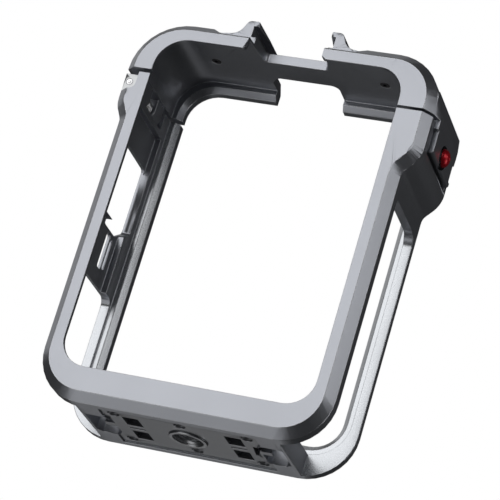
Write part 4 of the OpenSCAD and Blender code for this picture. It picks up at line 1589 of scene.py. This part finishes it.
@dataclass(frozen=True)
class Softbox:
    """A square lamp that faces the object.

    Attributes:
        name: Its name.
        direction: Where it hangs, as seen from the object.
        distance: How far away it hangs, in metres.
        size: Its side, in metres.
        radiance: How bright its face is.
        colour: The colour of its light.
    """

    name: str
    direction: Point
    distance: float
    size: float
    radiance: float
    colour: Colour = (1.0, 1.0, 1.0)

    def build(self, centre: Vector) -> None:
        """Hangs the lamp.

        Args:
            centre: The point that it faces.
        """
        lamp = bpy.data.lights.new(self.name, "AREA")
        lamp.shape = "SQUARE"
        lamp.size = self.size
        lamp.energy = self.radiance * math.pi * self.size**2
        lamp.color = self.colour
        made = bpy.data.objects.new(self.name, lamp)
        out = Vector(self.direction).normalized()
        turn = out.to_track_quat("Z", "Y").to_matrix().to_4x4()
        made.matrix_world = Matrix.Translation(centre + out * self.distance) @ turn
        bpy.context.scene.collection.objects.link(made)


@dataclass
class Studio:
    """A pale floor, soft lamps and the camera."""

    lens: float = 197.14
    eye: Point = (197.2, -517.95, -160.1)
    right: Point = (0.9304, 0.2446, 0.2732)
    up: Point = (-0.1547, -0.4136, 0.8972)
    back: Point = (0.3324, -0.8770, -0.3469)
    floor_radius: float = 2.5
    lamps: tuple[Softbox, ...] = (
        Softbox("key", (-0.334, -0.885, 0.33), 0.8, 0.68, 1.38),
        Softbox("low_key", (-0.34, -0.66, -0.67), 0.8, 0.3, 0.75),
        Softbox("right_fill", (0.87, -0.42, 0.30), 0.45, 0.24, 1.05),
        Softbox("right_edge", (0.93, 0.12, 0.33), 0.6, 0.2, 0.8),
        Softbox("low_fill", (-0.334, -0.26, -0.91), 0.7, 0.42, 0.62),
        Softbox("left_fill", (-0.861, 0.376, 0.347), 0.8, 0.4, 0.42),
        Softbox("top_fill", (-0.30, 0.46, 0.84), 0.8, 0.4, 0.30),
        Softbox("side_kick", (0.92, 0.28, -0.20), 0.5, 0.24, 1.0),
        Softbox("back_fill", (-0.55, 0.70, 0.45), 1.0, 0.5, 0.35),
        Softbox("floor_bounce", (-0.266, 0.677, -0.686), 0.207, 0.12, 0.32),
    )

    def build(self) -> None:
        """Sets up the world, the lamps, the floor and the camera."""
        scene = bpy.context.scene
        scene.view_settings.view_transform = "Standard"
        low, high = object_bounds()
        for lamp in self.lamps:
            lamp.build((low + high) / 2)
        self.world()
        self.floor()
        self.camera()

    def camera(self) -> None:
        """Places the camera."""
        data = bpy.data.cameras.new("camera")
        data.sensor_width = 36.0
        data.lens = self.lens
        data.clip_start = 0.01
        data.clip_end = 20.0
        made = bpy.data.objects.new("camera", data)
        turn = Matrix((self.right, self.up, self.back)).transposed().to_4x4()
        made.matrix_world = Matrix.Translation(Vector(self.eye) * MM) @ turn
        bpy.context.scene.collection.objects.link(made)
        bpy.context.scene.camera = made

    def world(self) -> None:
        """White behind the object, and a low even light from all round."""
        world = bpy.data.worlds.new("studio")
        bpy.context.scene.world = world
        world.use_nodes = True
        world.node_tree.nodes.clear()
        graph = Graph(world.node_tree)
        path = graph.node("ShaderNodeLightPath", None, None, "Is Camera Ray")
        clear = path.also("Is Transmission Ray")
        behind = path.most(clear)
        room = graph.node("ShaderNodeBackground", None, {"Color": (0.95, 0.97, 1.0), "Strength": 0.018})
        white = graph.node("ShaderNodeBackground", None, {"Color": (1.0, 1.0, 1.0), "Strength": 1.0})
        shown = graph.node("ShaderNodeMixShader", None, {0: behind, 1: room, 2: white})
        graph.node("ShaderNodeOutputWorld", None, {"Surface": shown})

    def floor(self) -> None:
        """Lays a round pale floor that fades to white and is seen only from above."""
        radius = self.floor_radius
        mesh = bpy.data.meshes.new("floor")
        shape = bmesh.new()
        bmesh.ops.create_circle(shape, cap_ends=True, segments=96, radius=radius)
        shape.to_mesh(mesh)
        shape.free()
        made = add_object("floor", mesh)
        material = bpy.data.materials.new("floor")
        material.use_nodes = True
        material.node_tree.nodes.clear()
        graph = Graph(material.node_tree)
        seen = graph.node("ShaderNodeLightPath", None, None, "Is Camera Ray")
        under = graph.node("ShaderNodeNewGeometry", None, None, "Backfacing")
        away = graph.node("ShaderNodeVectorMath", {"operation": "LENGTH"}, {0: graph.place()}, "Value")
        pale = graph.node("ShaderNodeBsdfDiffuse", None, {"Color": (0.86, 0.865, 0.875)})
        white = graph.node("ShaderNodeEmission", None, {"Color": (1.0, 1.0, 1.0), "Strength": 1.0})
        ground = graph.node("ShaderNodeMixShader", None, {0: away.fade(0.12, 0.5), 1: pale, 2: white})
        clear = graph.node("ShaderNodeBsdfTransparent")
        shown = graph.node("ShaderNodeMixShader", None, {0: seen * (1 - under), 1: clear, 2: ground})
        graph.node("ShaderNodeOutputMaterial", None, {"Surface": shown})
        mesh.materials.append(material)
        made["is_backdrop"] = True


# ---------- the whole scene ----------


def main() -> None:
    """Loads the frame, dresses it and sets up the studio."""
    logging.basicConfig(level=logging.INFO, format="%(name)s: %(message)s")
    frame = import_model()
    Studio().build()
    parts: list[SubAssembly] = [Shell(), Hinge(), Latch(), TripodBase(), Lining()]
    for part in parts:
        part.build()
        log.info("%s: %d pieces", type(part).__name__, len(part.pieces))
    log.info("%d CAD nodes, %d new pieces", len(frame["nodes"]), sum(len(p.pieces) for p in parts))


if __name__ == "__main__":
    main()
